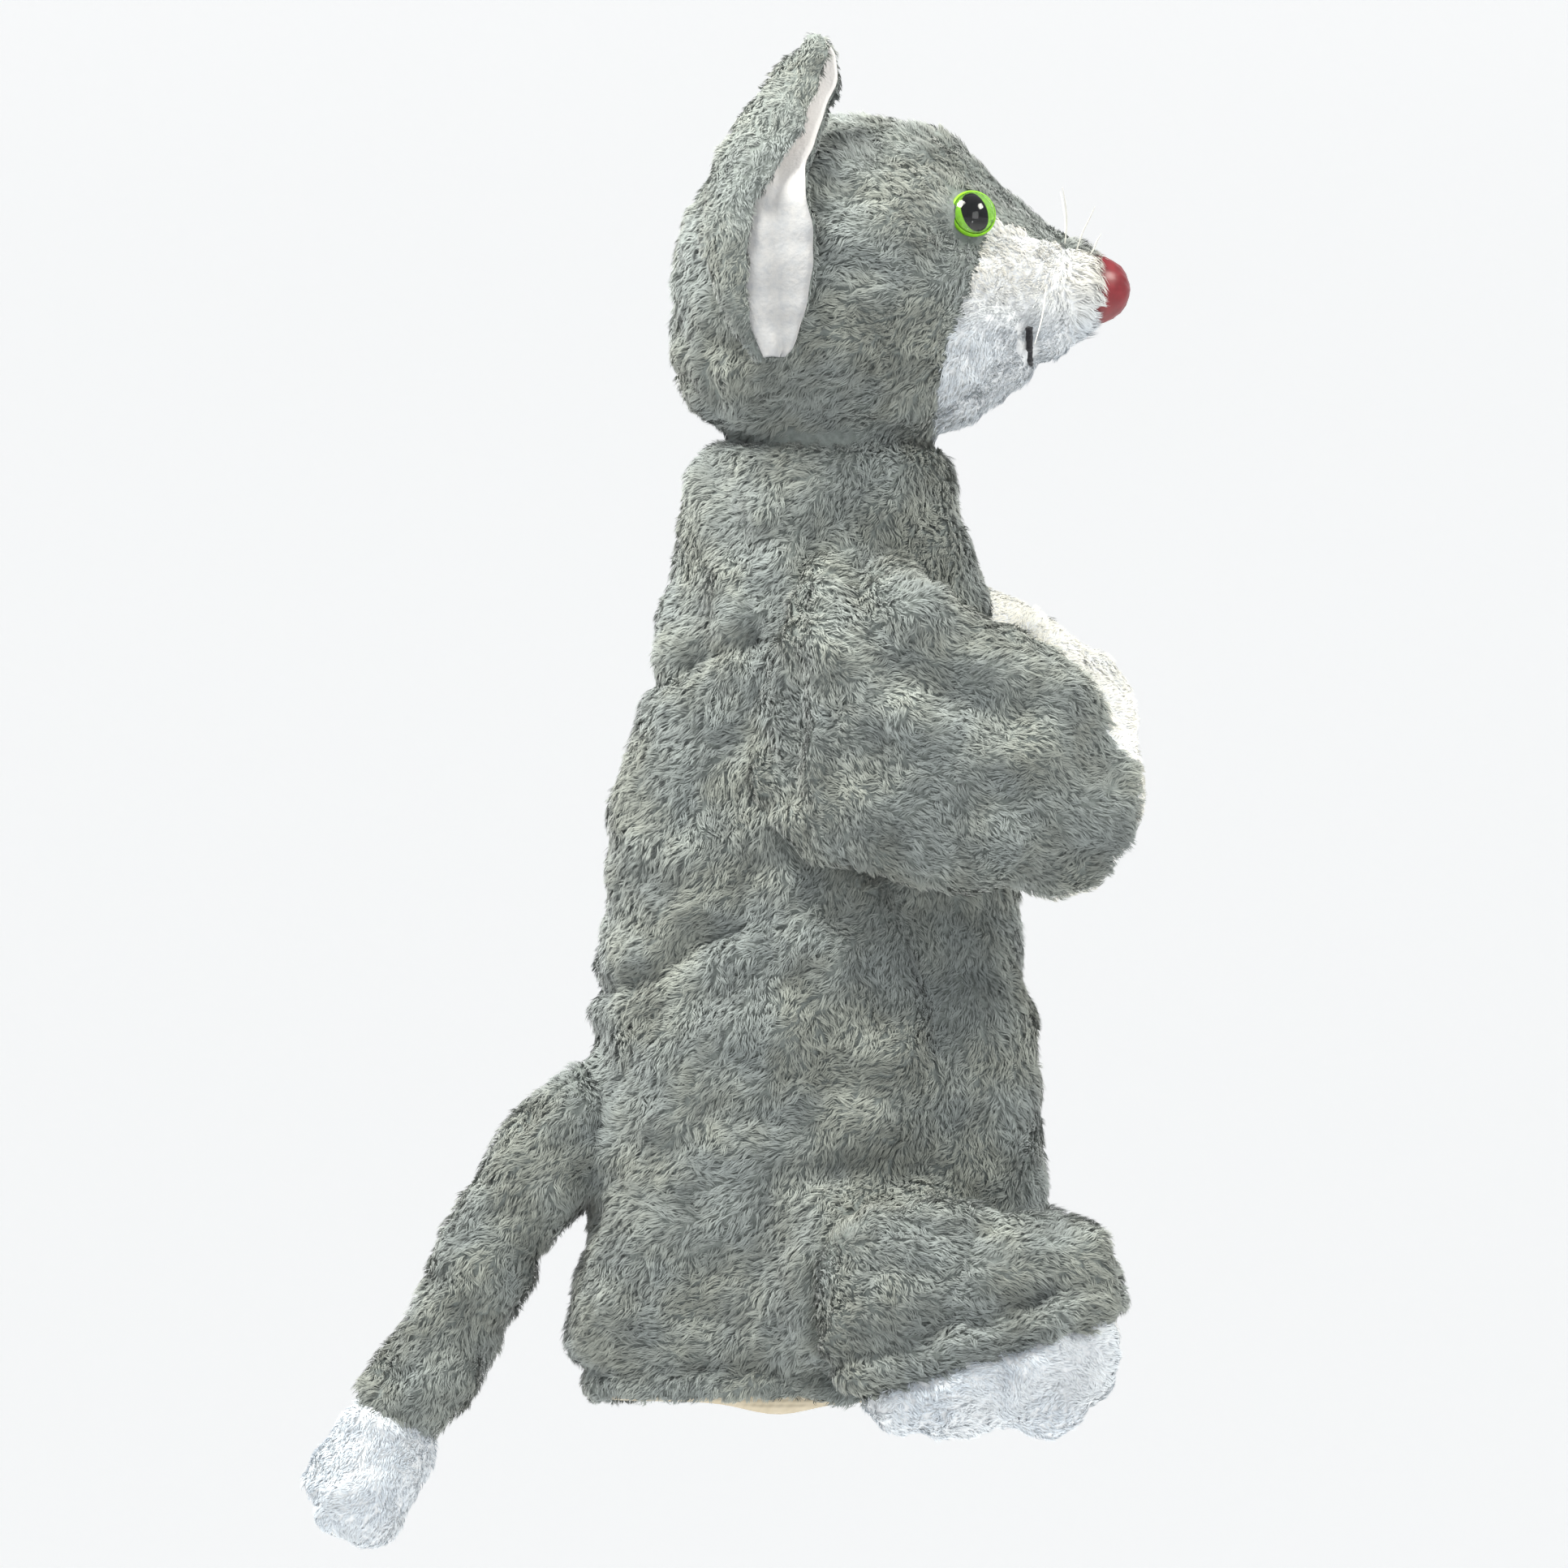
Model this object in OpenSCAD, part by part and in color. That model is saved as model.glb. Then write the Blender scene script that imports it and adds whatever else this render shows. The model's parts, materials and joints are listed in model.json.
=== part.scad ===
// Plush cat glove puppet, held upright on a hand or on a puppet stand.
// Millimetres, +Z up, the cat looks along -Y and its right side is -X.
// The origin is the middle of the hand opening at the hem.

/* [Body] */
// Height of the body from the hem to the neck
body_h = 240; // [220:1:250]
// Depth of the body at the hem, back to belly
body_depth = 121; // [110:1:125]
// Width of the body at the hem, side to side
body_width = 68; // [62:1:69]
// Thickness of the plush, backing and pile together
plush_t = 5; // [4:0.5:5.5]
// Thickness of the cotton lining
lining_t = 1.2; // [0.8:0.1:1.5]
// Height of the turned-up hem
hem_h = 8; // [6:0.5:10]

/* [Head] */
// Width of the head at the cheeks
head_width = 85; // [78:1:88]
// Inner radius of the finger tube
finger_r = 10; // [9:0.5:10.5]
// Length of the finger tube
finger_tube_l = 45; // [40:1:48]
// Diameter of a safety eye
eye_d = 12; // [10:0.5:13]
// Radius of the neck joint's ball
neck_r = 24; // [23:0.5:24]

/* [Limbs] */
// Thickness of an arm, side to side
arm_t = 23; // [20:0.5:23]
// How much higher the left arm is held than the right, in degrees
left_arm_raise = 18; // [0:1:20]
// How much further out the left arm is held than the right, in degrees
left_arm_spread = 28; // [0:1:30]
// Thickness of a leg, side to side
leg_t = 27; // [24:0.5:27]

/* [Tail] */
// Radius of the tail at its middle
tail_r = 15; // [12:0.5:16]

/* [Hidden] */

grey = [0.55, 0.57, 0.56];
white = [0.90, 0.90, 0.90];
beige = [0.80, 0.74, 0.62];
ring_n = 32; // points round each section of a plush skin
limb_n = 24; // points round each section of a limb
gap = 0.5; // running clearance of the ball-shaped joints
end_wall = 3.5; // how far a limb's inside stops short of its end sections
far = 400; // longer than the puppet, for cutting blocks

// Joint centres, in millimetres
neck_c = [0, -4, 252];
shoulder_c = [-44, -12, 184];
tail_c = [0, 69, 70];

// Body sections: height, back, front, half width
hw = body_width / 2;
hd = body_depth / 2;
body_secs = [
    [0, hd, -hd + 3, hw],
    [hem_h, hd + 1, -hd + 2, hw],
    [30, hd + 1, -hd, hw + 0.5],
    [60, hd, -hd - 1, hw + 1],
    [92, hd - 1, -hd, hw + 3],
    [122, hd - 3, -hd + 4, hw + 1],
    [150, hd - 7, -hd + 9, hw - 3],
    [178, hd - 13, -hd + 11, hw - 4],
    [205, hd - 20, -hd + 13, hw - 5],
    [225, hd - 25, -hd + 17, hw - 5],
    [body_h, hd - 28, -hd + 22, hw - 5]
];

// Head sections: distance from the origin along Y, top, bottom, half width
cheek = head_width / 2;
head_secs = [
    [37, 301, 275, cheek - 30],
    [34, 314, 266, cheek - 18],
    [27, 327, 257, cheek - 9],
    [15, 336, 252, cheek - 2.5],
    [0, 341, 250, cheek],
    [-15, 343, 250, cheek],
    [-28, 340, 252, cheek - 4],
    [-36, 335, 256, cheek - 8],
    [-45, 326, 261, cheek - 13.5],
    [-53, 319, 267, cheek - 19],
    [-62, 312, 273, cheek - 24.5],
    [-70, 307, 280, cheek - 29.5],
    [-76, 303, 286, cheek - 33]
];

// Arm sections: along Y, centre X, centre Z, half thickness, half height
at = arm_t / 2;
arm_secs = [
    [-1, -44, 182, at - 6, 28],
    [-5, -44, 182, at - 2, 37],
    [-12, -44, 182, at - 0.5, 41],
    [-30, -44, 178, at, 38.5],
    [-50, -42.5, 171, at + 1, 37],
    [-65, -40, 165.5, at + 2, 31],
    [-78, -38, 162, at + 0.5, 23.5],
    [-85, -37, 160.5, at - 3.5, 14.5],
    [-88.5, -37, 160, at - 8.5, 5]
];
palm_y = -51; // where the white palm starts
pocket_r = 20; // radius of the armhole

// Leg sections: along Y, centre X, centre Z, half thickness, half height
lt = leg_t / 2;
leg_secs = [
    [-4, -49.5, 27, lt - 8, 13],
    [-8, -49.5, 26, lt - 4, 21],
    [-20, -49.5, 25, lt, 29],
    [-35, -49.5, 23, lt, 32],
    [-50, -49, 22.5, lt, 30],
    [-65, -48, 22.5, lt + 0.5, 28.5],
    [-76, -47, 25, lt - 1, 22],
    [-83, -46.5, 26.5, lt - 6, 12],
    [-85.5, -46.5, 26, lt - 10, 4]
];
sole_back = [-12, -1]; // where the sole's seam starts at the heel, as Y and Z
sole_tip = [-86, 24]; // where it ends at the toe

// Tail axis: points along Y and Z from its joint, and the radius at each
tail_line = [
    [-4.6, 8.9, tail_r - 11],
    [-3.2, 6.2, tail_r - 6.5],
    [0, 0, tail_r - 4],
    [5, -9, tail_r - 2.8],
    [12, -24, tail_r - 1],
    [20, -40, tail_r],
    [29, -58, tail_r],
    [38, -75, tail_r - 1.5],
    [43, -85, tail_r - 2],
    [48, -95, tail_r - 0.5],
    [52, -102, tail_r - 2],
    [54, -107, tail_r - 8]
];
tail_white = 7; // index of the section where the white tip starts

// Points of an ellipse round a section lying across Y
function ring_y(y, cx, cz, rx, rz, n) =
    [for (i = [0:n - 1]) let (a = 360 * i / n) [cx + rx * cos(a), y, cz + rz * sin(a)]];

// Points of an ellipse round a level section
function ring_z(z, cy, rx, ry, n) =
    [for (i = [0:n - 1]) let (a = 360 * i / n) [rx * cos(a), cy + ry * sin(a), z]];

// Points of a circle round a section whose axis lies in the YZ plane along d
function ring_d(c, d, r, n) =
    [for (i = [0:n - 1]) let (a = 360 * i / n, s = r * sin(a) / norm(d))
        [r * cos(a), c[0] - d[1] * s, c[1] + d[0] * s]];

// A closed solid through a list of rings that follow each other along their right-hand normal
module loft(rings) {
    n = len(rings[0]);
    m = len(rings);
    points = [for (r = rings) each r];
    sides = [for (i = [0:m - 2], j = [0:n - 1])
        let (a = i * n + j, b = i * n + (j + 1) % n, c = b + n, d = a + n)
        each [[a, c, b], [a, d, c]]];
    first = [[for (j = [0:n - 1]) j]];
    last = [[for (j = [n - 1:-1:0]) (m - 1) * n + j]];
    polyhedron(points, concat(first, sides, last));
}

// A limb through sections across Y; with t over 0, the space inside a skin t thick
module limb_form(secs, t) {
    first = t > 0 ? 1 : 0;
    last = len(secs) - 1 - first;
    inset = t > 0 ? t - end_wall : 0;
    loft([for (i = [first:last]) let (s = secs[i]) ring_y(
        s[0] + (i == last ? inset : i == first ? -inset : 0),
        s[1], s[2], s[3] - t, s[4] - t, limb_n)]);
}

module mirror_copy(side) {
    if (side < 0) children();
    else mirror([1, 0, 0]) children();
}

// Everything on one side of the middle plane
module half_space(side) {
    translate([side < 0 ? -far : 0, -far / 2, -far / 4]) cube([far, far, 2 * far]);
}

// ---------- body ----------

module body_form(t, low, high) {
    loft([for (s = body_secs) ring_z(
        s[0] == 0 ? low : s[0] == body_h ? high : s[0],
        (s[1] + s[2]) / 2, s[3] - t, (s[1] - s[2]) / 2 - t, ring_n)]);
}

module armholes(r) {
    translate([-far / 2, shoulder_c[1], shoulder_c[2]])
        rotate([0, 90, 0]) cylinder(r = r, h = far, $fn = 64);
}

// The plush body from the top of the hem to the neck
module body_skin() {
    difference() {
        body_form(0, 0, body_h);
        body_form(plush_t, -5, body_h + 5);
        translate([-far / 2, -far / 2, -1]) cube([far, far, 1 + hem_h]);
        armholes(pocket_r + gap);
        translate(tail_c) sphere(r = tail_r - 1, $fn = 64);
    }
}

module body_half(side) {
    color(grey) intersection() {
        body_skin();
        half_space(side);
    }
}

module hem_band() {
    color(grey) difference() {
        intersection() {
            body_form(0, 0, body_h);
            translate([-far / 2, -far / 2, 0]) cube([far, far, hem_h]);
        }
        body_form(plush_t, -5, body_h + 5);
    }
}

module body_lining() {
    color(beige) difference() {
        body_form(plush_t + 0.2, -1.5, body_h - 6);
        body_form(plush_t + 0.2 + lining_t, -7, body_h + 5);
        armholes(pocket_r + gap);
    }
}

// A folded tape label caught in the lining at the hem
module blank_label() {
    color(white) translate([-4, -hd + plush_t + lining_t + 3.8, 3]) cube([8, 0.8, 16]);
}

// ---------- neck ----------

module neck_collar() {
    color(grey) translate(neck_c) difference() {
        intersection() {
            sphere(r = neck_r, $fn = 96);
            translate([0, 0, -15]) cylinder(r = neck_r + 1, h = 25, $fn = 96);
        }
        translate([0, 0, -20]) cylinder(r = neck_r - 6, h = 40, $fn = 96);
    }
}

// ---------- head ----------

// The head, t smaller all round than its outside
module head_form(t) {
    last = len(head_secs) - 1;
    loft([for (i = [0:last]) let (s = head_secs[i]) ring_y(
        s[0] + (i == last ? t : i == 0 ? -t : 0),
        0, (s[1] + s[2]) / 2, s[3] - t, (s[1] - s[2]) / 2 - t, ring_n)]);
}

eye_pos = [-26.2, -42.5, 314];
eye_tilt = [0, -68, 31]; // turns an eye built along +Z to look out to the right and forward

module at_eye() {
    translate(eye_pos) rotate([0, 0, eye_tilt[2]]) rotate([0, eye_tilt[1], 0]) children();
}

nose_z = 294.5;
nose_y = -76.2;

module at_nose() {
    translate([0, nose_y, nose_z]) rotate([90, 0, 0]) children();
}

// Room for the eyes, the nose and the neck joint
module head_cuts(seat) {
    for (side = [-1, 1]) mirror_copy(side) at_eye() {
        translate([0, 0, -0.4]) cylinder(r = eye_d / 2 + 0.3, h = 12, $fn = 48);
        translate([0, 0, -16]) cylinder(r = seat, h = 16, $fn = 48);
    }
    at_nose() translate([0, 0, -18]) cylinder(r = seat, h = 18, $fn = 48);
    translate(neck_c) sphere(r = neck_r + gap, $fn = 96);
}

module head_skin() {
    difference() {
        head_form(0);
        head_form(plush_t);
        head_cuts(2.3);
    }
}

// Side view of the white muzzle panels, as Y and Z
module muzzle_zone() {
    translate([far / 2, 0, 0]) rotate([90, 0, -90]) linear_extrude(far)
        mirror([1, 0]) polygon([
            [-46, 315], [-70, 307.5], [-80, 302], [-80, 230], [-30, 230],
            [-33, 262], [-35, 277], [-40, 292], [-46, 306]
        ]);
}

module gusset_zone() {
    translate([-11, -far / 2, 290]) cube([22, far, far]);
}

module head_side(side) {
    color(grey) intersection() {
        difference() {
            head_skin();
            muzzle_zone();
            gusset_zone();
        }
        half_space(side);
    }
}

module head_gusset() {
    color(grey) intersection() {
        difference() {
            head_skin();
            muzzle_zone();
        }
        gusset_zone();
    }
}

module muzzle(side) {
    color(white) intersection() {
        head_skin();
        muzzle_zone();
        half_space(side);
    }
}

module head_stuffing() {
    color([0.93, 0.93, 0.9]) difference() {
        head_form(plush_t + 0.2);
        head_cuts(8);
        translate([0, neck_c[1], neck_c[2]]) cylinder(r = finger_r + 1.6, h = 62, $fn = 64);
    }
}

tube_z = neck_c[2] + neck_r - 10; // lower end of the finger tube

module finger_tube() {
    color([0.72, 0.60, 0.42]) translate([0, neck_c[1], tube_z]) difference() {
        cylinder(r = finger_r + 1.5, h = finger_tube_l + 1.5, $fn = 96);
        translate([0, 0, -1]) cylinder(r = finger_r, h = finger_tube_l + 1, $fn = 96);
    }
}

module nose() {
    color([0.50, 0.14, 0.16]) at_nose() {
        difference() {
            scale([0.86, 1, 0.95]) sphere(r = 9.6, $fn = 48);
            translate([0, 0, -20]) cube([40, 40, 40], center = true);
        }
        translate([0, 0, -12]) cylinder(r = 2, h = 12.2, $fn = 32);
    }
}

module washer(r, hole) {
    difference() {
        cylinder(r = r, h = 1.2, $fn = 48);
        translate([0, 0, -1]) cylinder(r = hole, h = 4, $fn = 48);
    }
}

module nose_washer() {
    color("silver") at_nose() translate([0, 0, -9]) washer(6, 2.05);
}

module mouth_stitch() {
    color("black") difference() {
        intersection() {
            head_form(-0.8);
            translate([-30, -58.8, 240]) cube([60, 1.6, 44]);
        }
        head_form(-0.05);
    }
}

module eye_iris(side) {
    color([0.45, 0.72, 0.15]) mirror_copy(side) at_eye() {
        cylinder(r = eye_d / 2, h = 1.4, $fn = 64);
        translate([0, 0, -12]) cylinder(r = 2, h = 12.2, $fn = 32);
    }
}

// An upright slit under the clear dome
module eye_pupil(side) {
    color("black") mirror_copy(side) at_eye() translate([0, 0, 1.4])
        linear_extrude(0.5) scale([1.5, 1]) circle(r = eye_d / 4.2, $fn = 48);
}

module eye_dome(side) {
    dome_r = eye_d * 0.62;
    dome_c = 1.45 - sqrt(dome_r * dome_r - eye_d * eye_d / 4);
    color([0.9, 0.95, 0.9, 0.3]) mirror_copy(side) at_eye() difference() {
        translate([0, 0, dome_c]) sphere(r = dome_r, $fn = 64);
        translate([0, 0, -48.55]) cylinder(r = 30, h = 50, $fn = 32);
        translate([0, 0, 1]) linear_extrude(0.95) scale([1.5, 1]) circle(r = eye_d / 4, $fn = 48);
    }
}

module eye_washer(side) {
    color("silver") mirror_copy(side) at_eye() translate([0, 0, -9]) washer(6.5, 2.05);
}

// A filament from a to b
module filament(a, b) {
    d = b - a;
    translate(a) rotate([0, acos(d[2] / norm(d)), atan2(d[1], d[0])])
        cylinder(r = 0.45, h = norm(d), $fn = 16);
}

module whiskers(side) {
    color([0.9, 0.9, 0.88, 0.6]) mirror_copy(side) {
        filament([-16, -62.5, 298], [-33, -58.5, 281]);
        filament([-7, -67.5, 307], [-22, -67, 321]);
        filament([-8, -70, 305], [-20, -75, 316]);
    }
}

// Ear sections: height, centre X, centre Y, half thickness, half depth
ear_secs = [
    [278, -42, 8.5, 2.5, 5],
    [290, -43, 10, 5.5, 9],
    [305, -42, 12, 8, 12.5],
    [320, -38, 14, 8, 14],
    [335, -32, 10, 7, 12],
    [350, -27, 2.8, 4.5, 8],
    [363, -24, 0, 1.2, 1.6]
];

module ear_form(t, out, forward) {
    loft([for (s = ear_secs) [for (i = [0:limb_n - 1]) let (a = 360 * i / limb_n) [
        s[1] - out + max(s[3] - t, 0.6) * cos(a), s[2] - forward + max(s[4] - t, 0.8) * sin(a), s[0]]]]);
}

module ear_back(side) {
    color(grey) mirror_copy(side) difference() {
        ear_form(0, 0, 0);
        ear_form(0.5, 4, 5);
        head_form(0);
    }
}

module ear_lining(side) {
    color(white) mirror_copy(side) difference() {
        intersection() {
            ear_form(0.6, 4.1, 5.1);
            ear_form(0.5, 0, 0);
        }
        ear_form(1, 6, 7);
        head_form(0);
    }
}

// ---------- arms ----------

// The arm, or the space inside a skin t thick
module arm_form(t) {
    limb_form(arm_secs, t);
}

// Puts an arm built on the right side where it is held at rest
module pose_arm(side) {
    mirror_copy(side) translate(shoulder_c)
        rotate([side > 0 ? -left_arm_raise : 0, 0, 0])
        rotate([0, 0, side > 0 ? -left_arm_spread : 0])
        translate(-shoulder_c) children();
}

// The mouth of the finger pocket, towards the body
module pocket_mouth(r) {
    translate(shoulder_c) rotate([0, 90, 0]) translate([0, -4, 0])
        cylinder(r = r, h = 30, $fn = 48);
}

module sleeve_shell() {
    difference() {
        arm_form(0);
        arm_form(plush_t - 0.5);
        pocket_mouth(13);
    }
}

module palm_zone() {
    translate([-41.5, palm_y - far, 100]) cube([60, far, 150]);
}

module sleeve(side) {
    color(grey) pose_arm(side) difference() {
        sleeve_shell();
        palm_zone();
    }
}

module palm(side) {
    color(white) pose_arm(side) intersection() {
        sleeve_shell();
        palm_zone();
    }
}

module arm_lining(side) {
    color(beige) pose_arm(side) difference() {
        arm_form(plush_t - 0.4);
        arm_form(plush_t + lining_t - 0.4);
        pocket_mouth(13);
    }
}

// Stitched ring in the armhole, turns in it as the arm lifts
module armhole_ring(side) {
    color(grey) mirror_copy(side) translate([-29.5, shoulder_c[1], shoulder_c[2]])
        rotate([0, 90, 0]) difference() {
            cylinder(r = pocket_r, h = 9, $fn = 96);
            translate([0, 0, -1]) cylinder(r = pocket_r - 2.5, h = 12, $fn = 96);
        }
}

// ---------- legs ----------

module leg_form(t) {
    limb_form(leg_secs, t);
}

// Everything under the sole's seam
module sole_zone() {
    run = sole_back - sole_tip;
    translate([-100, sole_tip[0], sole_tip[1]]) rotate([atan2(run[1], run[0]), 0, 0])
        translate([0, -20, -60]) cube([100, 130, 60]);
}

module leg_skin(side) {
    color(grey) mirror_copy(side) difference() {
        leg_form(0);
        leg_form(plush_t);
        sole_zone();
    }
}

module sole(side) {
    color(white) mirror_copy(side) intersection() {
        difference() {
            leg_form(0);
            leg_form(plush_t);
        }
        sole_zone();
    }
}

module leg_stuffing(side) {
    color([0.93, 0.93, 0.9]) mirror_copy(side) leg_form(plush_t + 0.2);
}

// ---------- tail ----------

function tail_dir(i) =
    let (a = tail_line[max(i - 1, 0)], b = tail_line[min(i + 1, len(tail_line) - 1)])
    [b[0] - a[0], b[1] - a[1]];

// The tail between two of its sections, t smaller all round
module tail_form(t, first, last) {
    loft([for (i = [last:-1:first]) let (s = tail_line[i]) ring_d(
        [tail_c[1] + s[0], tail_c[2] + s[1]], tail_dir(i), max(s[2] - t, 2), limb_n)]);
}

module tail_root_ball(r) {
    translate(tail_c) sphere(r = r, $fn = 64);
}

module tail_seam_ring() {
    color(grey) intersection() {
        difference() {
            tail_root_ball(tail_r - 1.5);
            tail_root_ball(tail_r - 3);
        }
        translate([-20, tail_c[1] - 25, tail_c[2] - 20]) cube([40, 15, 40]);
    }
}

module tail_skin() {
    color(grey) difference() {
        tail_form(0, 0, tail_white);
        tail_form(3.5, 3, tail_white + 1);
    }
}

module tail_tip() {
    color(white) difference() {
        tail_form(0, tail_white, len(tail_line) - 1);
        tail_form(3.5, tail_white - 1, len(tail_line) - 2);
    }
}

module tail_stuffing() {
    color([0.93, 0.93, 0.9]) tail_form(4, 3, len(tail_line) - 3);
}

body_half(-1);  // body_right
body_half(1);  // body_left
hem_band();
body_lining();
blank_label();
neck_collar();
head_side(-1);  // head_side_right
head_side(1);  // head_side_left
head_gusset();
muzzle(-1);  // muzzle_right
muzzle(1);  // muzzle_left
nose();
nose_washer();
mouth_stitch();
eye_iris(-1);  // eye_iris_right
eye_pupil(-1);  // eye_pupil_right
eye_dome(-1);  // eye_dome_right
eye_washer(-1);  // eye_washer_right
eye_iris(1);  // eye_iris_left
eye_pupil(1);  // eye_pupil_left
eye_dome(1);  // eye_dome_left
eye_washer(1);  // eye_washer_left
whiskers(-1);  // whiskers_right
whiskers(1);  // whiskers_left
ear_back(-1);  // ear_back_right
ear_lining(-1);  // ear_lining_right
ear_back(1);  // ear_back_left
ear_lining(1);  // ear_lining_left
head_stuffing();
finger_tube();
armhole_ring(-1);  // armhole_ring_right
sleeve(-1);  // sleeve_right
palm(-1);  // palm_right
arm_lining(-1);  // arm_lining_right
armhole_ring(1);  // armhole_ring_left
sleeve(1);  // sleeve_left
palm(1);  // palm_left
arm_lining(1);  // arm_lining_left
leg_skin(-1);  // leg_skin_right
sole(-1);  // sole_right
leg_stuffing(-1);  // leg_stuffing_right
leg_skin(1);  // leg_skin_left
sole(1);  // sole_left
leg_stuffing(1);  // leg_stuffing_left
tail_seam_ring();
tail_skin();
tail_tip();
tail_stuffing();
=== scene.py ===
import json
import math

import bmesh
import bpy
import numpy as np
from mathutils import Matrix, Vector, kdtree


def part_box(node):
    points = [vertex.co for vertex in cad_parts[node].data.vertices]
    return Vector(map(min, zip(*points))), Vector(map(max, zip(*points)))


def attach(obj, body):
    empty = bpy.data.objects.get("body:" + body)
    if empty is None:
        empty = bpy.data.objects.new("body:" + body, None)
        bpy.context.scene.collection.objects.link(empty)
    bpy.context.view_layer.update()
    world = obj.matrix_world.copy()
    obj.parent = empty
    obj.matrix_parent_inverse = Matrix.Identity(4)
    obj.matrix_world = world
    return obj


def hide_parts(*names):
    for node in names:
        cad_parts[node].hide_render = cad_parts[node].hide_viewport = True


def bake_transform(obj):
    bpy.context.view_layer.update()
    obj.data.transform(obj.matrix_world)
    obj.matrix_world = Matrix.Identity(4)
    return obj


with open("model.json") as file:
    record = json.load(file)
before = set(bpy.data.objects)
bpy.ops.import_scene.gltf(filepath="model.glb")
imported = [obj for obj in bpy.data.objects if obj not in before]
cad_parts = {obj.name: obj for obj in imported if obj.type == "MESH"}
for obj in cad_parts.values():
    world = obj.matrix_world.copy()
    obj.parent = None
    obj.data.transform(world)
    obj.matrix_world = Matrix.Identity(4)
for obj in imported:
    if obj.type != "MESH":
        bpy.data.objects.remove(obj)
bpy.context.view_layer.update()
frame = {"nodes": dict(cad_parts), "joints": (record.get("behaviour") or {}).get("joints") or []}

MM = 0.001
SIDES = {"right": -1.0, "left": 1.0}
GREY, WHITE = "grey_plush", "white_plush"
joints = {j["name"]: j for j in frame["joints"]}
NECK = np.array(joints["head_turn"]["pos_m"]) / MM
SHOULDER = np.array(joints["arm_right_lift"]["pos_m"]) / MM
HIP = np.array(joints["leg_right_swing"]["pos_m"]) / MM
TAIL = np.array(joints["tail_wag"]["pos_m"]) / MM
LEFT_RAISE, LEFT_SPREAD = 18.0, 28.0  # how the left arm is held at rest, in degrees
LEFT_WRIST = 13.0  # how far its raised wrist bulges, in millimetres
PILE = 1.0  # share of the fur that is grown
MOST_HAIRS = 62000  # in one piece
SHINE_ALONG = 0.4  # how much a hair's own direction changes the light on it


# ---------- numbers ----------

def smooth(x):
    x = np.clip(x, 0, 1)
    return x * x * (3 - 2 * x)


def unit(v):
    return v / np.maximum(np.linalg.norm(v, axis=-1, keepdims=True), 1e-9)


def waves(p, size, seed, count=7):
    """Smooth random numbers of about -1 to 1 at points p, in millimetres, with bumps about size across."""
    rng = np.random.default_rng(seed)
    k = unit(rng.normal(size=(count, 3))) * (2 * math.pi / size) * rng.uniform(0.6, 1.3, (count, 1))
    return np.sin(p @ k.T + rng.uniform(0, 6.28, count)).sum(1) / math.sqrt(count / 1.6)


def catmull(rows, count):
    """count rows along a smooth curve through the given rows."""
    rows = np.asarray(rows, float)
    padded_rows = np.vstack([2 * rows[0] - rows[1], rows, 2 * rows[-1] - rows[-2]])
    t = np.linspace(0, len(rows) - 1, count)
    i = np.minimum(t.astype(int), len(rows) - 2)
    f = (t - i)[:, None]
    a, b, c, d = (padded_rows[i + n] for n in range(4))
    return 0.5 * (2 * b + (c - a) * f + (2 * a - 5 * b + 4 * c - d) * f**2 + (3 * b - a - 3 * c + d) * f**3)


def about_x(degrees):
    """The matrix of a turn about X."""
    c, s = math.cos(math.radians(degrees)), math.sin(math.radians(degrees))
    return np.array([[1, 0, 0], [0, c, -s], [0, s, c]])


def tree_of(points):
    """A tree that finds the nearest of the points."""
    tree = kdtree.KDTree(len(points))
    for i, q in enumerate(points):
        tree.insert(q, i)
    tree.balance()
    return tree


# ---------- meshes ----------

def link(name, data):
    """A new object in the scene."""
    obj = bpy.data.objects.new(name, data)
    bpy.context.scene.collection.objects.link(obj)
    return obj


def new_object(name, verts, faces):
    mesh = bpy.data.meshes.new(name)
    verts = [tuple(v) for v in np.asarray(verts) * MM]
    mesh.from_pydata(verts, [], [tuple(int(i) for i in f) for f in faces])
    mesh.update()
    mesh.shade_smooth()
    return link(name, mesh)


def points_of(mesh):
    co = np.empty(len(mesh.vertices) * 3, np.float32)
    mesh.vertices.foreach_get("co", co)
    return co.reshape(-1, 3).astype(float) / MM


def normals_of(mesh):
    n = np.empty(len(mesh.vertices) * 3, np.float32)
    mesh.vertex_normals.foreach_get("vector", n)
    return n.reshape(-1, 3).astype(float)


def set_points(mesh, points):
    mesh.vertices.foreach_set("co", (points * MM).astype(np.float32).ravel())
    mesh.update()


def grid_faces(rings, around, closed=True):
    faces = []
    last = around if closed else around - 1
    for i in range(rings - 1):
        for j in range(last):
            a, b = i * around + j, i * around + (j + 1) % around
            faces.append((a, b, b + around, a + around))
    return faces


def loft(name, rings, caps=True):
    """A skin through rings of points, an array of (rings, around, 3)."""
    count, around = rings.shape[:2]
    faces = grid_faces(count, around)
    if caps:
        faces.append(tuple(range(around))[::-1])
        faces.append(tuple(range((count - 1) * around, count * around)))
    obj = new_object(name, rings.reshape(-1, 3), faces)
    repair_normals(obj.data)
    return obj


def repair_normals(mesh):
    bm = bmesh.new()
    bm.from_mesh(mesh)
    bmesh.ops.recalc_face_normals(bm, faces=bm.faces)
    bm.to_mesh(mesh)
    bm.free()


def ring_across_y(rows, around=48, power=2.0):
    """Rings from rows of Y, centre X, centre Z, half width, half height."""
    a = np.linspace(0, 2 * math.pi, around, endpoint=False)
    c, s = np.cos(a), np.sin(a)
    c, s = np.sign(c) * abs(c) ** (2 / power), np.sign(s) * abs(s) ** (2 / power)
    y, cx, cz, rx, rz = (rows[:, i : i + 1] for i in range(5))
    return np.stack([cx + rx * c, y + 0 * c, cz + rz * s], 2)


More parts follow.
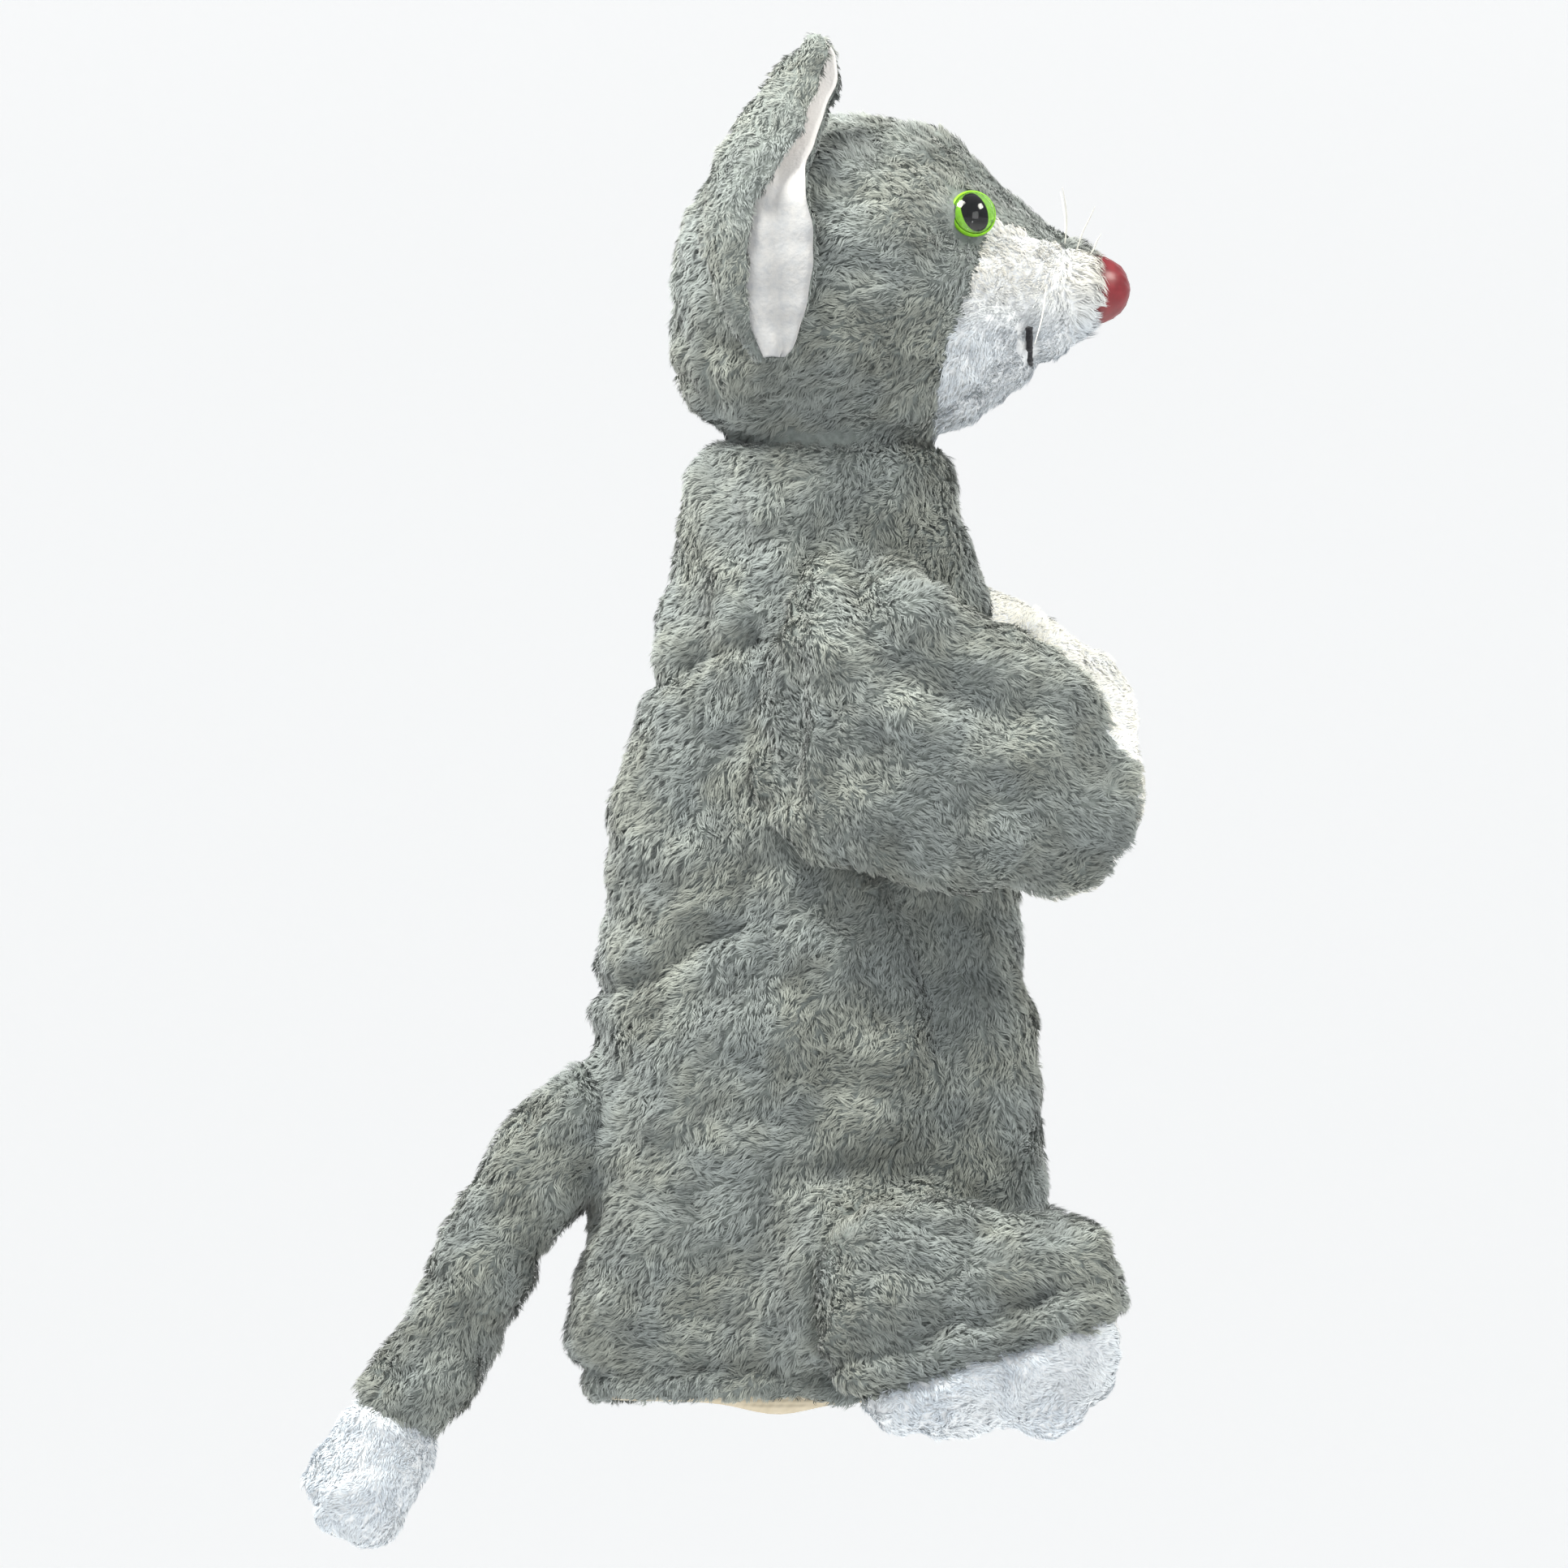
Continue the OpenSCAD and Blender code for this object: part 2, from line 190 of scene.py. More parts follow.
def ellipsoid(name, centre, radii, turn=0.0):
    """An ellipsoid, turned about X by turn degrees."""
    lat = np.linspace(0.02, math.pi - 0.02, 24)
    lon = np.linspace(0, 2 * math.pi, 36, endpoint=False)
    unit_rings = np.stack([
        np.sin(lat)[:, None] * np.cos(lon), np.sin(lat)[:, None] * np.sin(lon), np.cos(lat)[:, None] + 0 * lon
    ], 2) * np.array(radii)
    return loft(name, unit_rings @ about_x(turn).T + np.array(centre))


def apply_modifiers(obj):
    bpy.context.view_layer.update()
    evaluated = obj.evaluated_get(bpy.context.evaluated_depsgraph_get())
    mesh = bpy.data.meshes.new_from_object(evaluated)
    obj.modifiers.clear()
    obj.data = mesh
    mesh.shade_smooth()
    return obj


def merge(name, parts, voxel=2.6, passes=6):
    """One closed skin round all the parts, smoothed."""
    bpy.ops.object.select_all(action="DESELECT")
    for p in parts:
        p.select_set(True)
    bpy.context.view_layer.objects.active = parts[0]
    if len(parts) > 1:
        bpy.ops.object.join()
    obj = bpy.context.view_layer.objects.active
    obj.name = name
    remesh = obj.modifiers.new("remesh", "REMESH")
    remesh.mode, remesh.voxel_size = "VOXEL", voxel * MM
    relax = obj.modifiers.new("relax", "SMOOTH")
    relax.factor, relax.iterations = 0.5, passes
    return apply_modifiers(obj)


def push(obj, amount):
    """Moves each vertex along its normal by amount, in millimetres, an array or a function of the points."""
    p, n = points_of(obj.data), normals_of(obj.data)
    a = amount(p, n) if callable(amount) else amount
    set_points(obj.data, p + n * np.asarray(a)[:, None])


def to_line(p, line):
    """Distance from points p to a line of points, both in the YZ plane, in millimetres."""
    best = np.full(len(p), 1e9)
    q = p[:, 1:3]
    for a, b in zip(np.array(line[:-1], float), np.array(line[1:], float)):
        t = np.clip(((q - a) @ (b - a)) / ((b - a) @ (b - a)), 0, 1)
        best = np.minimum(best, np.linalg.norm(q - a - t[:, None] * (b - a), axis=1))
    return best


def crease(p, line, depth, width, side=0):
    """Depth of a fold along a line of (Y, Z) points, on one side of the object or on both, with a low
    swell beside it."""
    away = to_line(p, line)
    swell = 0.35 * np.exp(-(((away - 2.2 * width) / width) ** 2))
    d = depth * (np.exp(-((away / width) ** 2)) - swell)
    if side:
        d = d * smooth(0.5 + side * p[:, 0] / 8)
    return -d


def thicken(obj, by):
    """Makes an open sheet a closed one, by millimetres thick, on its inner side."""
    solid = obj.modifiers.new("thick", "SOLIDIFY")
    solid.thickness, solid.offset = by * MM, -1
    return apply_modifiers(obj)


def carve(obj, *cutters):
    """Cuts the cutters out of obj and removes them."""
    for c in cutters:
        cut = obj.modifiers.new("cut", "BOOLEAN")
        cut.operation, cut.object, cut.solver = "DIFFERENCE", c, "EXACT"
    apply_modifiers(obj)
    drop(*cutters)


def lathe(name, profile, centre, axis, up, stretch=(1.0, 1.0), around=48):
    """Turns a profile of (radius, height) points about axis; stretch scales it along up and across."""
    axis = unit(np.array(axis, float))
    v = unit(np.array(up, float) - axis * (axis @ np.array(up, float)))
    u = np.cross(v, axis)
    a = np.linspace(0, 2 * math.pi, around, endpoint=False)[:, None]
    circle = np.cos(a) * u * stretch[1] + np.sin(a) * v * stretch[0]
    rings = [centre + h * axis + r * circle for r, h in profile]
    return loft(name, np.array(rings))


def tube(points, radii, around=8):
    """Vertices and faces of a closed tube along points."""
    points, radii = np.asarray(points, float), np.broadcast_to(radii, (len(points),))
    ahead = unit(np.gradient(points, axis=0))
    side = unit(np.cross(ahead, np.array([0.3, 0.2, 0.93])))
    other = np.cross(ahead, side)
    a = np.linspace(0, 2 * math.pi, around, endpoint=False)
    ring = side[:, None] * np.cos(a)[None, :, None] + other[:, None] * np.sin(a)[None, :, None]
    verts = (points[:, None] + ring * radii[:, None, None]).reshape(-1, 3)
    faces = grid_faces(len(points), around)
    first, last = range(around), range((len(points) - 1) * around, len(points) * around)
    faces += [tuple(first)[::-1], tuple(last)]
    return verts, faces


def tubes(name, lines, radii):
    """One object of several tubes, each along a smooth curve through its points."""
    verts, faces = [], []
    for line, r in zip(lines, radii):
        points = catmull(line, 14 * len(line))
        taper = np.interp(np.linspace(0, 1, len(points)), [0, 0.7, 1], [r, r * 0.85, r * 0.4])
        v, f = tube(points, taper)
        faces += [tuple(i + len(verts) for i in face) for face in f]
        verts += list(v)
    obj = new_object(name, verts, faces)
    repair_normals(obj.data)
    return obj


def keep_faces(obj, name, wanted):
    """A copy of obj with only the faces whose centres wanted() says yes to."""
    bm = bmesh.new()
    bm.from_mesh(obj.data)
    centres = np.array([f.calc_center_median()[:] for f in bm.faces]) / MM
    yes = wanted(centres)
    bmesh.ops.delete(bm, geom=[f for f, y in zip(bm.faces, yes) if not y], context="FACES")
    mesh = bpy.data.meshes.new(name)
    bm.to_mesh(mesh)
    bm.free()
    mesh.shade_smooth()
    return link(name, mesh)


def on_side(obj, side):
    """Mirrors a right piece to the left where side is the left."""
    if side > 0:
        set_points(obj.data, points_of(obj.data) * [-1, 1, 1])
        obj.data.flip_normals()


def weld(obj, distance=0.05):
    bm = bmesh.new()
    bm.from_mesh(obj.data)
    bmesh.ops.remove_doubles(bm, verts=bm.verts, dist=distance * MM)
    bmesh.ops.recalc_face_normals(bm, faces=bm.faces)
    bm.to_mesh(obj.data)
    bm.free()
    obj.data.shade_smooth()


def repair_sheet(obj, out):
    """Turns an open sheet's faces so that most of them face the way out."""
    repair_normals(obj.data)
    obj.data.update()
    n = normals_of(obj.data)
    if (n @ out).sum() < 0:
        obj.data.flip_normals()


def drop(*objs):
    for o in objs:
        bpy.data.objects.remove(o, do_unlink=True)


# ---------- materials ----------

def material(name, colour, rough, **sockets):
    """A Principled material; returns it with its tree and shader."""
    mat = bpy.data.materials.new(name)
    mat.use_nodes = True
    nt = mat.node_tree
    bsdf = nt.nodes["Principled BSDF"]
    bsdf.inputs["Base Color"].default_value = (*colour, 1)
    bsdf.inputs["Roughness"].default_value = rough
    for key, value in sockets.items():
        bsdf.inputs[key.replace("_", " ")].default_value = value
    mat.diffuse_color = (*colour, 1)
    return mat, nt, bsdf


def noise(nt, size, detail=3.0, rough=0.55):
    """A noise texture with spots about size millimetres across, in the object's own space."""
    coords = nt.nodes.new("ShaderNodeTexCoord")
    tex = nt.nodes.new("ShaderNodeTexNoise")
    tex.inputs["Scale"].default_value = 1 / (size * MM)
    tex.inputs["Detail"].default_value = detail
    tex.inputs["Roughness"].default_value = rough
    nt.links.new(coords.outputs["Object"], tex.inputs["Vector"])
    return tex.outputs["Fac"]


def ramp(nt, fac, stops):
    """A colour ramp of (place, colour) stops."""
    node = nt.nodes.new("ShaderNodeValToRGB")
    while len(node.color_ramp.elements) < len(stops):
        node.color_ramp.elements.new(0.5)
    for e, (at, colour) in zip(node.color_ramp.elements, stops):
        e.position, e.color = at, (*colour, 1)
    nt.links.new(fac, node.inputs["Fac"])
    return node.outputs["Color"]


def mix(nt, fac, a, b, mode="MIX"):
    node = nt.nodes.new("ShaderNodeMix")
    node.data_type, node.blend_type = "RGBA", mode
    for socket, value in ((node.inputs[0], fac), (node.inputs[6], a), (node.inputs[7], b)):
        if isinstance(value, (int, float)):
            socket.default_value = value
        elif isinstance(value, tuple):
            socket.default_value = (*value, 1)
        else:
            nt.links.new(value, socket)
    return node.outputs[2]


def attribute(nt, name):
    node = nt.nodes.new("ShaderNodeAttribute")
    node.attribute_name = name
    return node.outputs["Fac"]


def bump(nt, bsdf, height, strength, distance):
    node = nt.nodes.new("ShaderNodeBump")
    node.inputs["Strength"].default_value = strength
    node.inputs["Distance"].default_value = distance * MM
    nt.links.new(height, node.inputs["Height"])
    nt.links.new(node.outputs["Normal"], bsdf.inputs["Normal"])


def above(nt, low, high):
    """0 below the height low and 1 above the height high, in millimetres."""
    coords = nt.nodes.new("ShaderNodeTexCoord")
    split = nt.nodes.new("ShaderNodeSeparateXYZ")
    nt.links.new(coords.outputs["Object"], split.inputs["Vector"])
    level = nt.nodes.new("ShaderNodeMapRange")
    level.inputs["From Min"].default_value = low * MM
    level.inputs["From Max"].default_value = high * MM
    nt.links.new(split.outputs["Z"], level.inputs["Value"])
    return level.outputs["Result"]


def pile_material(name, root, cool, warm, sheen, tone=0.86, patch=0.86, lit_above=None):
    """Fur: patches of a cool and a warm shade, with each lock its own tone, and each hair painted darker
    towards its root as painted shade deep in the pile.
    Where two heights are given for it, the colour goes instead from the cool shade below them, which is
    painted shade, to the warm shade above them, which is painted light."""
    mat, nt, bsdf = material(name, cool, 0.8, Sheen_Weight=sheen, Sheen_Roughness=0.55,
                             Specular_IOR_Level=0.2)
    # Painted light and shade: below the lower height the colour is the darker cool shade, above the higher
    # one the lighter warm shade.
    if lit_above:
        patches = mix(nt, above(nt, *lit_above), cool, warm)
    else:
        patches = ramp(nt, noise(nt, 24, 2.0), [(0.4, cool), (0.6, warm)])
    shade = ramp(nt, noise(nt, 15, 3.0), [(0.36, (patch, patch, patch)), (0.6, (1.0, 1.0, 1.0))])
    locks = mix(nt, attribute(nt, "lock_tone"), (tone, tone, tone), (1.0, 1.0, 1.0))
    coat = mix(nt, 1.0, mix(nt, 1.0, patches, shade, "MULTIPLY"), locks, "MULTIPLY")
    # Painted shade: each hair's colour darkens from the coat to the root colour towards its root, standing in
    # for the shade deep in the pile.
    height = ramp(nt, attribute(nt, "along"), [(0.0, (0, 0, 0)), (0.7, (1, 1, 1))])
    nt.links.new(mix(nt, height, root, coat), bsdf.inputs["Base Color"])
    return mat


def cloth_material(name, dark, light, grain, thread=0.0, rough=0.9, sheen=0.1, lit_strip=None,
                   lit_strip_heights=None):
    """Cloth: a mottled colour with a fine grain, and a woven relief where thread is the threads' spacing.
    Where a lit colour is given, the colour turns to it between the two heights given with it and stays so
    above them, as painted light on the top of the piece."""
    mat, nt, bsdf = material(name, dark, rough, Specular_IOR_Level=0.15, Sheen_Weight=sheen)
    colour = ramp(nt, noise(nt, grain, 4.0), [(0.3, dark), (0.7, light)])
    if lit_strip:
        # Painted light: above the given heights the cloth turns to the lighter colour.
        colour = mix(nt, above(nt, *lit_strip_heights), colour, lit_strip)
    nt.links.new(colour, bsdf.inputs["Base Color"])
    if thread:
        coords = nt.nodes.new("ShaderNodeTexCoord")
        heights = []
        for axis in ("Z", "DIAGONAL"):
            wave = nt.nodes.new("ShaderNodeTexWave")
            wave.wave_type, wave.bands_direction = "BANDS", axis
            wave.inputs["Scale"].default_value = 1 / (thread * MM) / 6.28
            nt.links.new(coords.outputs["Object"], wave.inputs["Vector"])
            heights.append(wave.outputs["Fac"])
        bump(nt, bsdf, mix(nt, 0.5, *heights), 0.6, 0.25)
    else:
        bump(nt, bsdf, noise(nt, grain * 0.6, 2.0), 0.5, 0.4)
    return mat


def hard_material(name, colour, rough, spot, fleck, relief=0.25, **sockets):
    """Plastic, metal or card, with a faint mottle of relief and colour."""
    mat, nt, bsdf = material(name, colour, rough, **sockets)
    fac = noise(nt, spot, 3.0)
    darker = tuple(c * (1 - fleck) for c in colour)
    nt.links.new(ramp(nt, fac, [(0.35, darker), (0.65, colour)]), bsdf.inputs["Base Color"])
    bump(nt, bsdf, fac, relief, 0.08)
    return mat


# The first colour of the grey, white and palm piles is their hairs' root colour, darker than the coat:
# painted shade deep in the pile.
MATS = {
    GREY: pile_material("grey pile", (0.160, 0.178, 0.170), (0.312, 0.347, 0.340), (0.334, 0.357, 0.32),
                        0.3, 0.82, 0.68),
    WHITE: pile_material("white pile", (0.62, 0.66, 0.71), (0.66, 0.72, 0.78), (0.72, 0.76, 0.79),
                         0.2, 0.96, 0.96),
    # The muzzle pile goes from a darker cool white below to a lighter warm white above: painted shade under
    # the chin and painted light on top.
    "muzzle": pile_material("muzzle pile", (0.74, 0.75, 0.74), (0.60, 0.65, 0.70), (0.73, 0.715, 0.665),
                            0.2, 0.97, 0.96, (283, 298)),
    # The palm pile is the same white plush painted lighter than the other white pile: painted light on the
    # palms.
    "palm": pile_material("lit palm pile", (0.82, 0.82, 0.78), (0.96, 0.96, 0.91), (0.97, 0.955, 0.88),
                          0.2, 0.96, 0.96),
    # The backing cloths under the pile are darker than the pile's coat, like its hairs' roots: painted shade
    # seen deep between the hairs.
    "grey backing in painted shade": cloth_material("grey backing in painted shade", (0.15, 0.17, 0.16), (0.22, 0.245, 0.235), 1.5),
    "white backing in painted shade": cloth_material("white backing in painted shade", (0.62, 0.64, 0.66), (0.76, 0.78, 0.8), 1.5),
    # The ear lining is one white velour in two painted tones: its lower part, where the key light falls,
    # darker, and its top strip, which lies in shade, lighter: painted shade and painted light.
    "velour": cloth_material("ear velour", (0.31, 0.32, 0.335), (0.37, 0.368, 0.368), 2.2, sheen=0.15,
                             lit_strip=(0.72, 0.70, 0.69), lit_strip_heights=(316, 330)),
    "cotton": cloth_material("lining cotton", (0.52, 0.45, 0.33), (0.60, 0.53, 0.41), 6.0, thread=0.7),
    "fibre": cloth_material("polyester filling", (0.80, 0.80, 0.78), (0.92, 0.92, 0.90), 3.0),
    "tape": cloth_material("satin tape", (0.72, 0.72, 0.70), (0.82, 0.82, 0.80), 2.0, thread=0.5, rough=0.5),
    "thread": cloth_material("black thread", (0.010, 0.010, 0.012), (0.03, 0.03, 0.035), 0.5,
                             thread=0.6, rough=0.7),
    "nose": hard_material("nose red", (0.19, 0.012, 0.018), 0.4, 2.2, 0.2, 0.1,
                          Coat_Weight=0.1, Coat_Roughness=0.35),
    "iris": hard_material("iris green", (0.21, 0.52, 0.02), 0.4, 0.9, 0.2, Specular_IOR_Level=0.2),
    "pupil": hard_material("pupil black", (0.004, 0.004, 0.006), 0.5, 1.0, 0.3, 0.0, Specular_IOR_Level=0.0),
    "clear": hard_material("clear dome", (0.98, 1.0, 0.98), 0.0, 2.0, 0.01, 0.0,
                           Transmission_Weight=1.0, IOR=1.36),
    "steel": hard_material("washer steel", (0.55, 0.56, 0.58), 0.35, 0.6, 0.2, Metallic=1.0),
    "card": hard_material("tube card", (0.42, 0.29, 0.16), 0.85, 3.0, 0.25),
    "nylon": hard_material("whisker nylon", (0.62, 0.62, 0.57), 0.35, 1.5, 0.12),
}


# ---------- fur ----------

class Skin:
    """Triangles of a skin and what is needed to grow hair on it."""

    def __init__(self, obj):
        mesh = obj.data
        mesh.calc_loop_triangles()
        self.p, self.n = points_of(mesh), normals_of(mesh)
        self.t = np.array([t.vertices[:] for t in mesh.loop_triangles])
        a, b, c = (self.p[self.t[:, i]] for i in range(3))
        self.area = np.linalg.norm(np.cross(b - a, c - a), axis=1) / 2

    def scatter(self, count, rng):
        pick = rng.choice(len(self.t), count, p=self.area / self.area.sum())
        u, v = rng.random(count), rng.random(count)
        flip = u + v > 1
        u[flip], v[flip] = 1 - u[flip], 1 - v[flip]
        w = np.stack([1 - u - v, u, v], 1)[:, :, None]
        return (self.p[self.t[pick]] * w).sum(1), unit((self.n[self.t[pick]] * w).sum(1))


def nearest(centres, points):
    """For each point, which centre is nearest."""
    tree = tree_of(centres)
    return np.array([tree.find(p)[1] for p in points])


def along_skin(direction, n):
    return unit(direction - (direction * n).sum(1)[:, None] * n)


def path(root, n, d, length, lean, sway):
    """Three points along each hair, which stands up at its root and leans over towards its tip."""
    side = np.cross(n, d)
    stops = [root - 0.4 * n]
    for share, angle, turn in ((0.52, lean * 0.62, 1.0), (0.48, lean * 1.26, -0.7)):
        a = np.radians(np.minimum(angle, 92))[:, None]
        way = n * np.cos(a) + d * np.sin(a) + side * sway * turn
        stops.append(stops[-1] + way * (length * share)[:, None])
    return stops


def grow(name, skin_obj, flow, length, density=4.0, lock=1.6, lean=66.0, width=0.28, seed=1, keep=None,
         gather=0.3, turn=18.0, swirl=(26, 14)):
    """Hair over a skin, as thin ribbons in locks, in pieces of at most MOST_HAIRS each. flow(p, n) is the
    way the pile lies. length is in millimetres, a number or a function of the points, and density in hairs
    per square millimetre. lock is the locks' spacing, lean how far hair leans from upright in degrees, gather
    how much each lock closes, and turn and swirl how much the locks' directions differ, in degrees."""
    rng = np.random.default_rng(seed)
    skin = Skin(skin_obj)
    area = skin.area.sum()
    centres, cn = skin.scatter(max(int(area / (lock * lock)), 4), rng)
    root, n = skin.scatter(int(area * density * PILE), rng)
    if keep is not None:
        yes = keep(root)
        root, n = root[yes], n[yes]
    of = nearest(centres, root)
    m = len(centres)
    bend = np.radians(rng.normal(0, turn, m) + swirl[0] * waves(centres, 17, seed + 50)
                      + swirl[1] * waves(centres, 7, seed + 60))
    cd = along_skin(flow(centres, cn), cn)
    cd = unit(cd * np.cos(bend)[:, None] + np.cross(cn, cd) * np.sin(bend)[:, None])
    lengths = length(centres) if callable(length) else np.full(m, float(length))
    lock_length = lengths * rng.uniform(0.78, 1.18, m)
    lock_lean = lean * rng.uniform(0.74, 1.15, m)
    lock_sway = rng.normal(0, 0.2, (m, 1))
    guide = path(centres, cn, cd, lock_length, lock_lean, lock_sway)
    count = len(root)
    d = along_skin(cd[of] + rng.normal(0, 0.12, (count, 3)), n)
    own_length = lock_length[of] * rng.uniform(0.8, 1.1, count)
    own_lean = lock_lean[of] * rng.uniform(0.9, 1.1, count)
    hair = path(root, n, d, own_length, own_lean, lock_sway[of] + rng.normal(0, 0.06, (count, 1)))
    pull = gather * rng.uniform(0.7, 1.1, (count, 1))
    stops = [h + (g[of] - h) * pull * s for h, g, s in zip(hair, guide, (0.0, 0.45, 1.0))]
    wide = width * rng.uniform(0.75, 1.25, (count, 1))
    tone = rng.random(m)[of] * 0.7 + rng.random(count) * 0.3
    twist = rng.normal(0, 0.4, (count, 1))
    parts = max(math.ceil(count / MOST_HAIRS), 1)
    order = np.argsort(root[:, 2], kind="stable")
    pieces = []
    for i, own in enumerate(np.array_split(order, parts)):
        label = name if parts == 1 else f"{name}_{i + 1}"
        pieces.append(ribbons(label, [s[own] for s in stops], n[own], wide[own], tone[own], twist[own]))
    return pieces


def ribbons(name, stops, n, width, tone, twist):
    """Each hair as a ribbon of a quad and a triangle, shaded mostly as the skin under it."""
    count = len(n)
    verts, shade = np.empty((count, 5, 3)), np.empty((count, 5, 3))
    for k in range(3):
        ahead = unit(stops[min(k + 1, 2)] - stops[max(k - 1, 0)])
        across = unit(unit(np.cross(ahead, n)) + n * twist)
        lit = unit(n - SHINE_ALONG * (n * ahead).sum(1)[:, None] * ahead)
        if k < 2:
            half = across * width * (0.5, 0.42)[k]
            verts[:, 2 * k], verts[:, 2 * k + 1] = stops[k] - half, stops[k] + half
            shade[:, 2 * k], shade[:, 2 * k + 1] = unit(lit - 0.22 * across), unit(lit + 0.22 * across)
        else:
            verts[:, 4], shade[:, 4] = stops[2], lit
    base = np.arange(count)[:, None] * 5
    quads = (base + [0, 1, 3, 2]).reshape(-1)
    tips = (base + [2, 3, 4]).reshape(-1)
    mesh = bpy.data.meshes.new(name)
    mesh.vertices.add(count * 5)
    mesh.vertices.foreach_set("co", (verts * MM).astype(np.float32).ravel())
    mesh.loops.add(count * 7)
    mesh.loops.foreach_set("vertex_index", np.concatenate([quads, tips]).astype(np.int32))
    mesh.polygons.add(count * 2)
    starts = np.concatenate([np.arange(count) * 4, count * 4 + np.arange(count) * 3])
    mesh.polygons.foreach_set("loop_start", starts.astype(np.int32))
    mesh.update(calc_edges=True)
    mesh.shade_smooth()
    along = np.tile([0, 0, 0.55, 0.55, 1.0], count)
    for label, values in (("lock_tone", np.repeat(tone, 5)), ("along", along)):
        mesh.attributes.new(label, "FLOAT", "POINT").data.foreach_set("value", values.astype(np.float32))
    mesh.normals_split_custom_set_from_vertices(shade.reshape(-1, 3).astype(np.float32))
    return link(name, mesh)


def dress(piece, mat):
    piece.data.materials.clear()
    piece.data.materials.append(MATS[mat])
    return piece


def place(pieces, body, bend=None):
    """Puts pieces on a body. With bend given, the pieces are not put on a body and only get their transforms
    applied."""
    for p in pieces:
        if bend is None:
            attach(p, body)
        else:
            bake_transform(p)


def fit(piece, mat, body, node):
    """Dresses a piece and puts it on a body in place of a CAD node."""
    dress(piece, mat)
    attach(piece, body)
    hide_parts(node)


def plush(name, skin, slot, flow, length, body, bend=None, fill=None, mat=None, **style):
    """A skin, in place of the CAD node of that name, and the pile on it, which moves alike."""
    # The skin takes the darker backing, painted shade between the hairs.
    backing = "grey backing in painted shade" if slot == GREY else "white backing in painted shade"
    dress(skin, backing)
    pile = [dress(p, mat or slot) for p in grow(name + "_pile", skin, flow, length, **style)]
    place([skin, *pile], body, bend)
    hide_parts(name)


def fixed_flow(x, y, z):
    way = np.array([x, y, z], float)
    return lambda p, n: np.tile(way, (len(p), 1))


# ---------- body ----------

FUR = 2.3  # how far the skin lies inside the pile's outside

# Height, back, front, half width
BODY = [
    (4, 60.5, -57.5, 34), (12, 64.5, -59.5, 35.5), (22, 66.3, -61.5, 36), (34, 64.8, -62, 36.5),
    (60, 60.8, -63, 37), (92, 58.5, -62, 38), (122, 56.5, -57.5, 36), (150, 55.5, -53.5, 33.5),
    (178, 48.3, -51.5, 32), (205, 42.5, -49, 31), (225, 35.3, -44, 30.5), (238, 32.8, -40, 30),
    (247, 32.3, -38.8, 29.5), (253, 29, -35, 26),
]
ARMHOLE = 15  # radius
LINING = 0.8  # thickness of the cotton


def inside_body(p):
    """How far points lie from the body's middle, where 1 is its wall."""
    rows = np.array(BODY, float)
    back, front, half = (np.interp(p[:, 2], rows[:, 0], rows[:, i]) for i in (1, 2, 3))
    return np.hypot(p[:, 0] / half, (p[:, 1] - (back + front) / 2) / ((back - front) / 2))


def body_skin():
    rows = catmull(BODY, 90)
    a = np.linspace(0, 2 * math.pi, 72, endpoint=False)
    z, back, front, half = (rows[:, i : i + 1] for i in range(4))
    cy, ry = (back + front) / 2, (back - front) / 2 - FUR
    c, s = np.cos(a), np.sin(a)
    rings = np.stack([(half - FUR) * c, cy + ry * s, z + 0 * a], 2)
    parts = [loft("trunk", rings)]
    for side in SIDES.values():
        parts.append(ellipsoid("haunch", (side * 27, -14, 36), (18, 30, 29)))
        parts.append(ellipsoid("blade", (side * 18, 6, 200), (14, 22, 34), -12))
    parts.append(ellipsoid("rump", (0, 50, 70), (16, 13, 26)))
    skin = merge("body_skin", parts)

    def folds(p, n):
        d = 1.3 * waves(p, 36, 3) + 0.5 * waves(p, 16, 4) + 0.25 * waves(p, 7.5, 5)
        d += crease(p, [(41, 191), (36, 194), (27, 198), (14, 202)], 3.4, 3.2)
        d += crease(p, [(53, 109), (46, 112), (38, 115), (30, 124), (20, 125)], 3.0, 3.0)
        d += crease(p, [(4, 186), (4, 164), (3, 146), (-4, 134), (-14, 122), (-18, 104)], 4.0, 4.5)
        d += crease(p, [(14, 140), (6, 120), (-6, 98), (-14, 84)], 3.0, 6.0)
        d += crease(p, [(-30, 130), (-34, 100), (-30, 70), (-22, 58)], 3.0, 8.0)
        d += crease(p, [(24, 172), (20, 130), (14, 110)], 2.0, 6.0)
        d += crease(p, [(-3, 36), (-8, 20), (-11, 6)], 3.4, 2.8)
        d += crease(p, [(8, 246), (-2, 222), (-14, 204)], 2.6, 4.0)
        d += crease(p, [(24, 248), (18, 226), (10, 208)], 2.0, 4.0)
        hem_seam = 1.8 * np.exp(-(((p[:, 2] - 9.5) / 1.8) ** 2))
        return d * smooth((p[:, 2] - 4) / 12) * smooth((252 - p[:, 2]) / 8) - hem_seam

    push(skin, folds)
    return skin


def body_flow(p, n):
    """The pile runs down and back, and more back on the flanks."""
    way = np.tile([0.0, 0.75, -1.0], (len(p), 1))
    way[:, 1] += 0.35 * np.sin(p[:, 2] / 31)
    way[:, 1] += 0.5 * smooth((p[:, 1] - 10) / 40) - 0.9 * smooth((-20 - p[:, 1]) / 40)
    return way


def off_armhole(p):
    return np.hypot(p[:, 1] - SHOULDER[1], p[:, 2] - SHOULDER[2]) >= ARMHOLE


def body_wall(p):
    """True on the body's wall, and not in the neck, the armholes and the hem."""
    neck = (np.hypot(p[:, 0], p[:, 1] - NECK[1]) < 20) & (p[:, 2] > 245)
    return ~neck & off_armhole(p) & (p[:, 2] > 7)


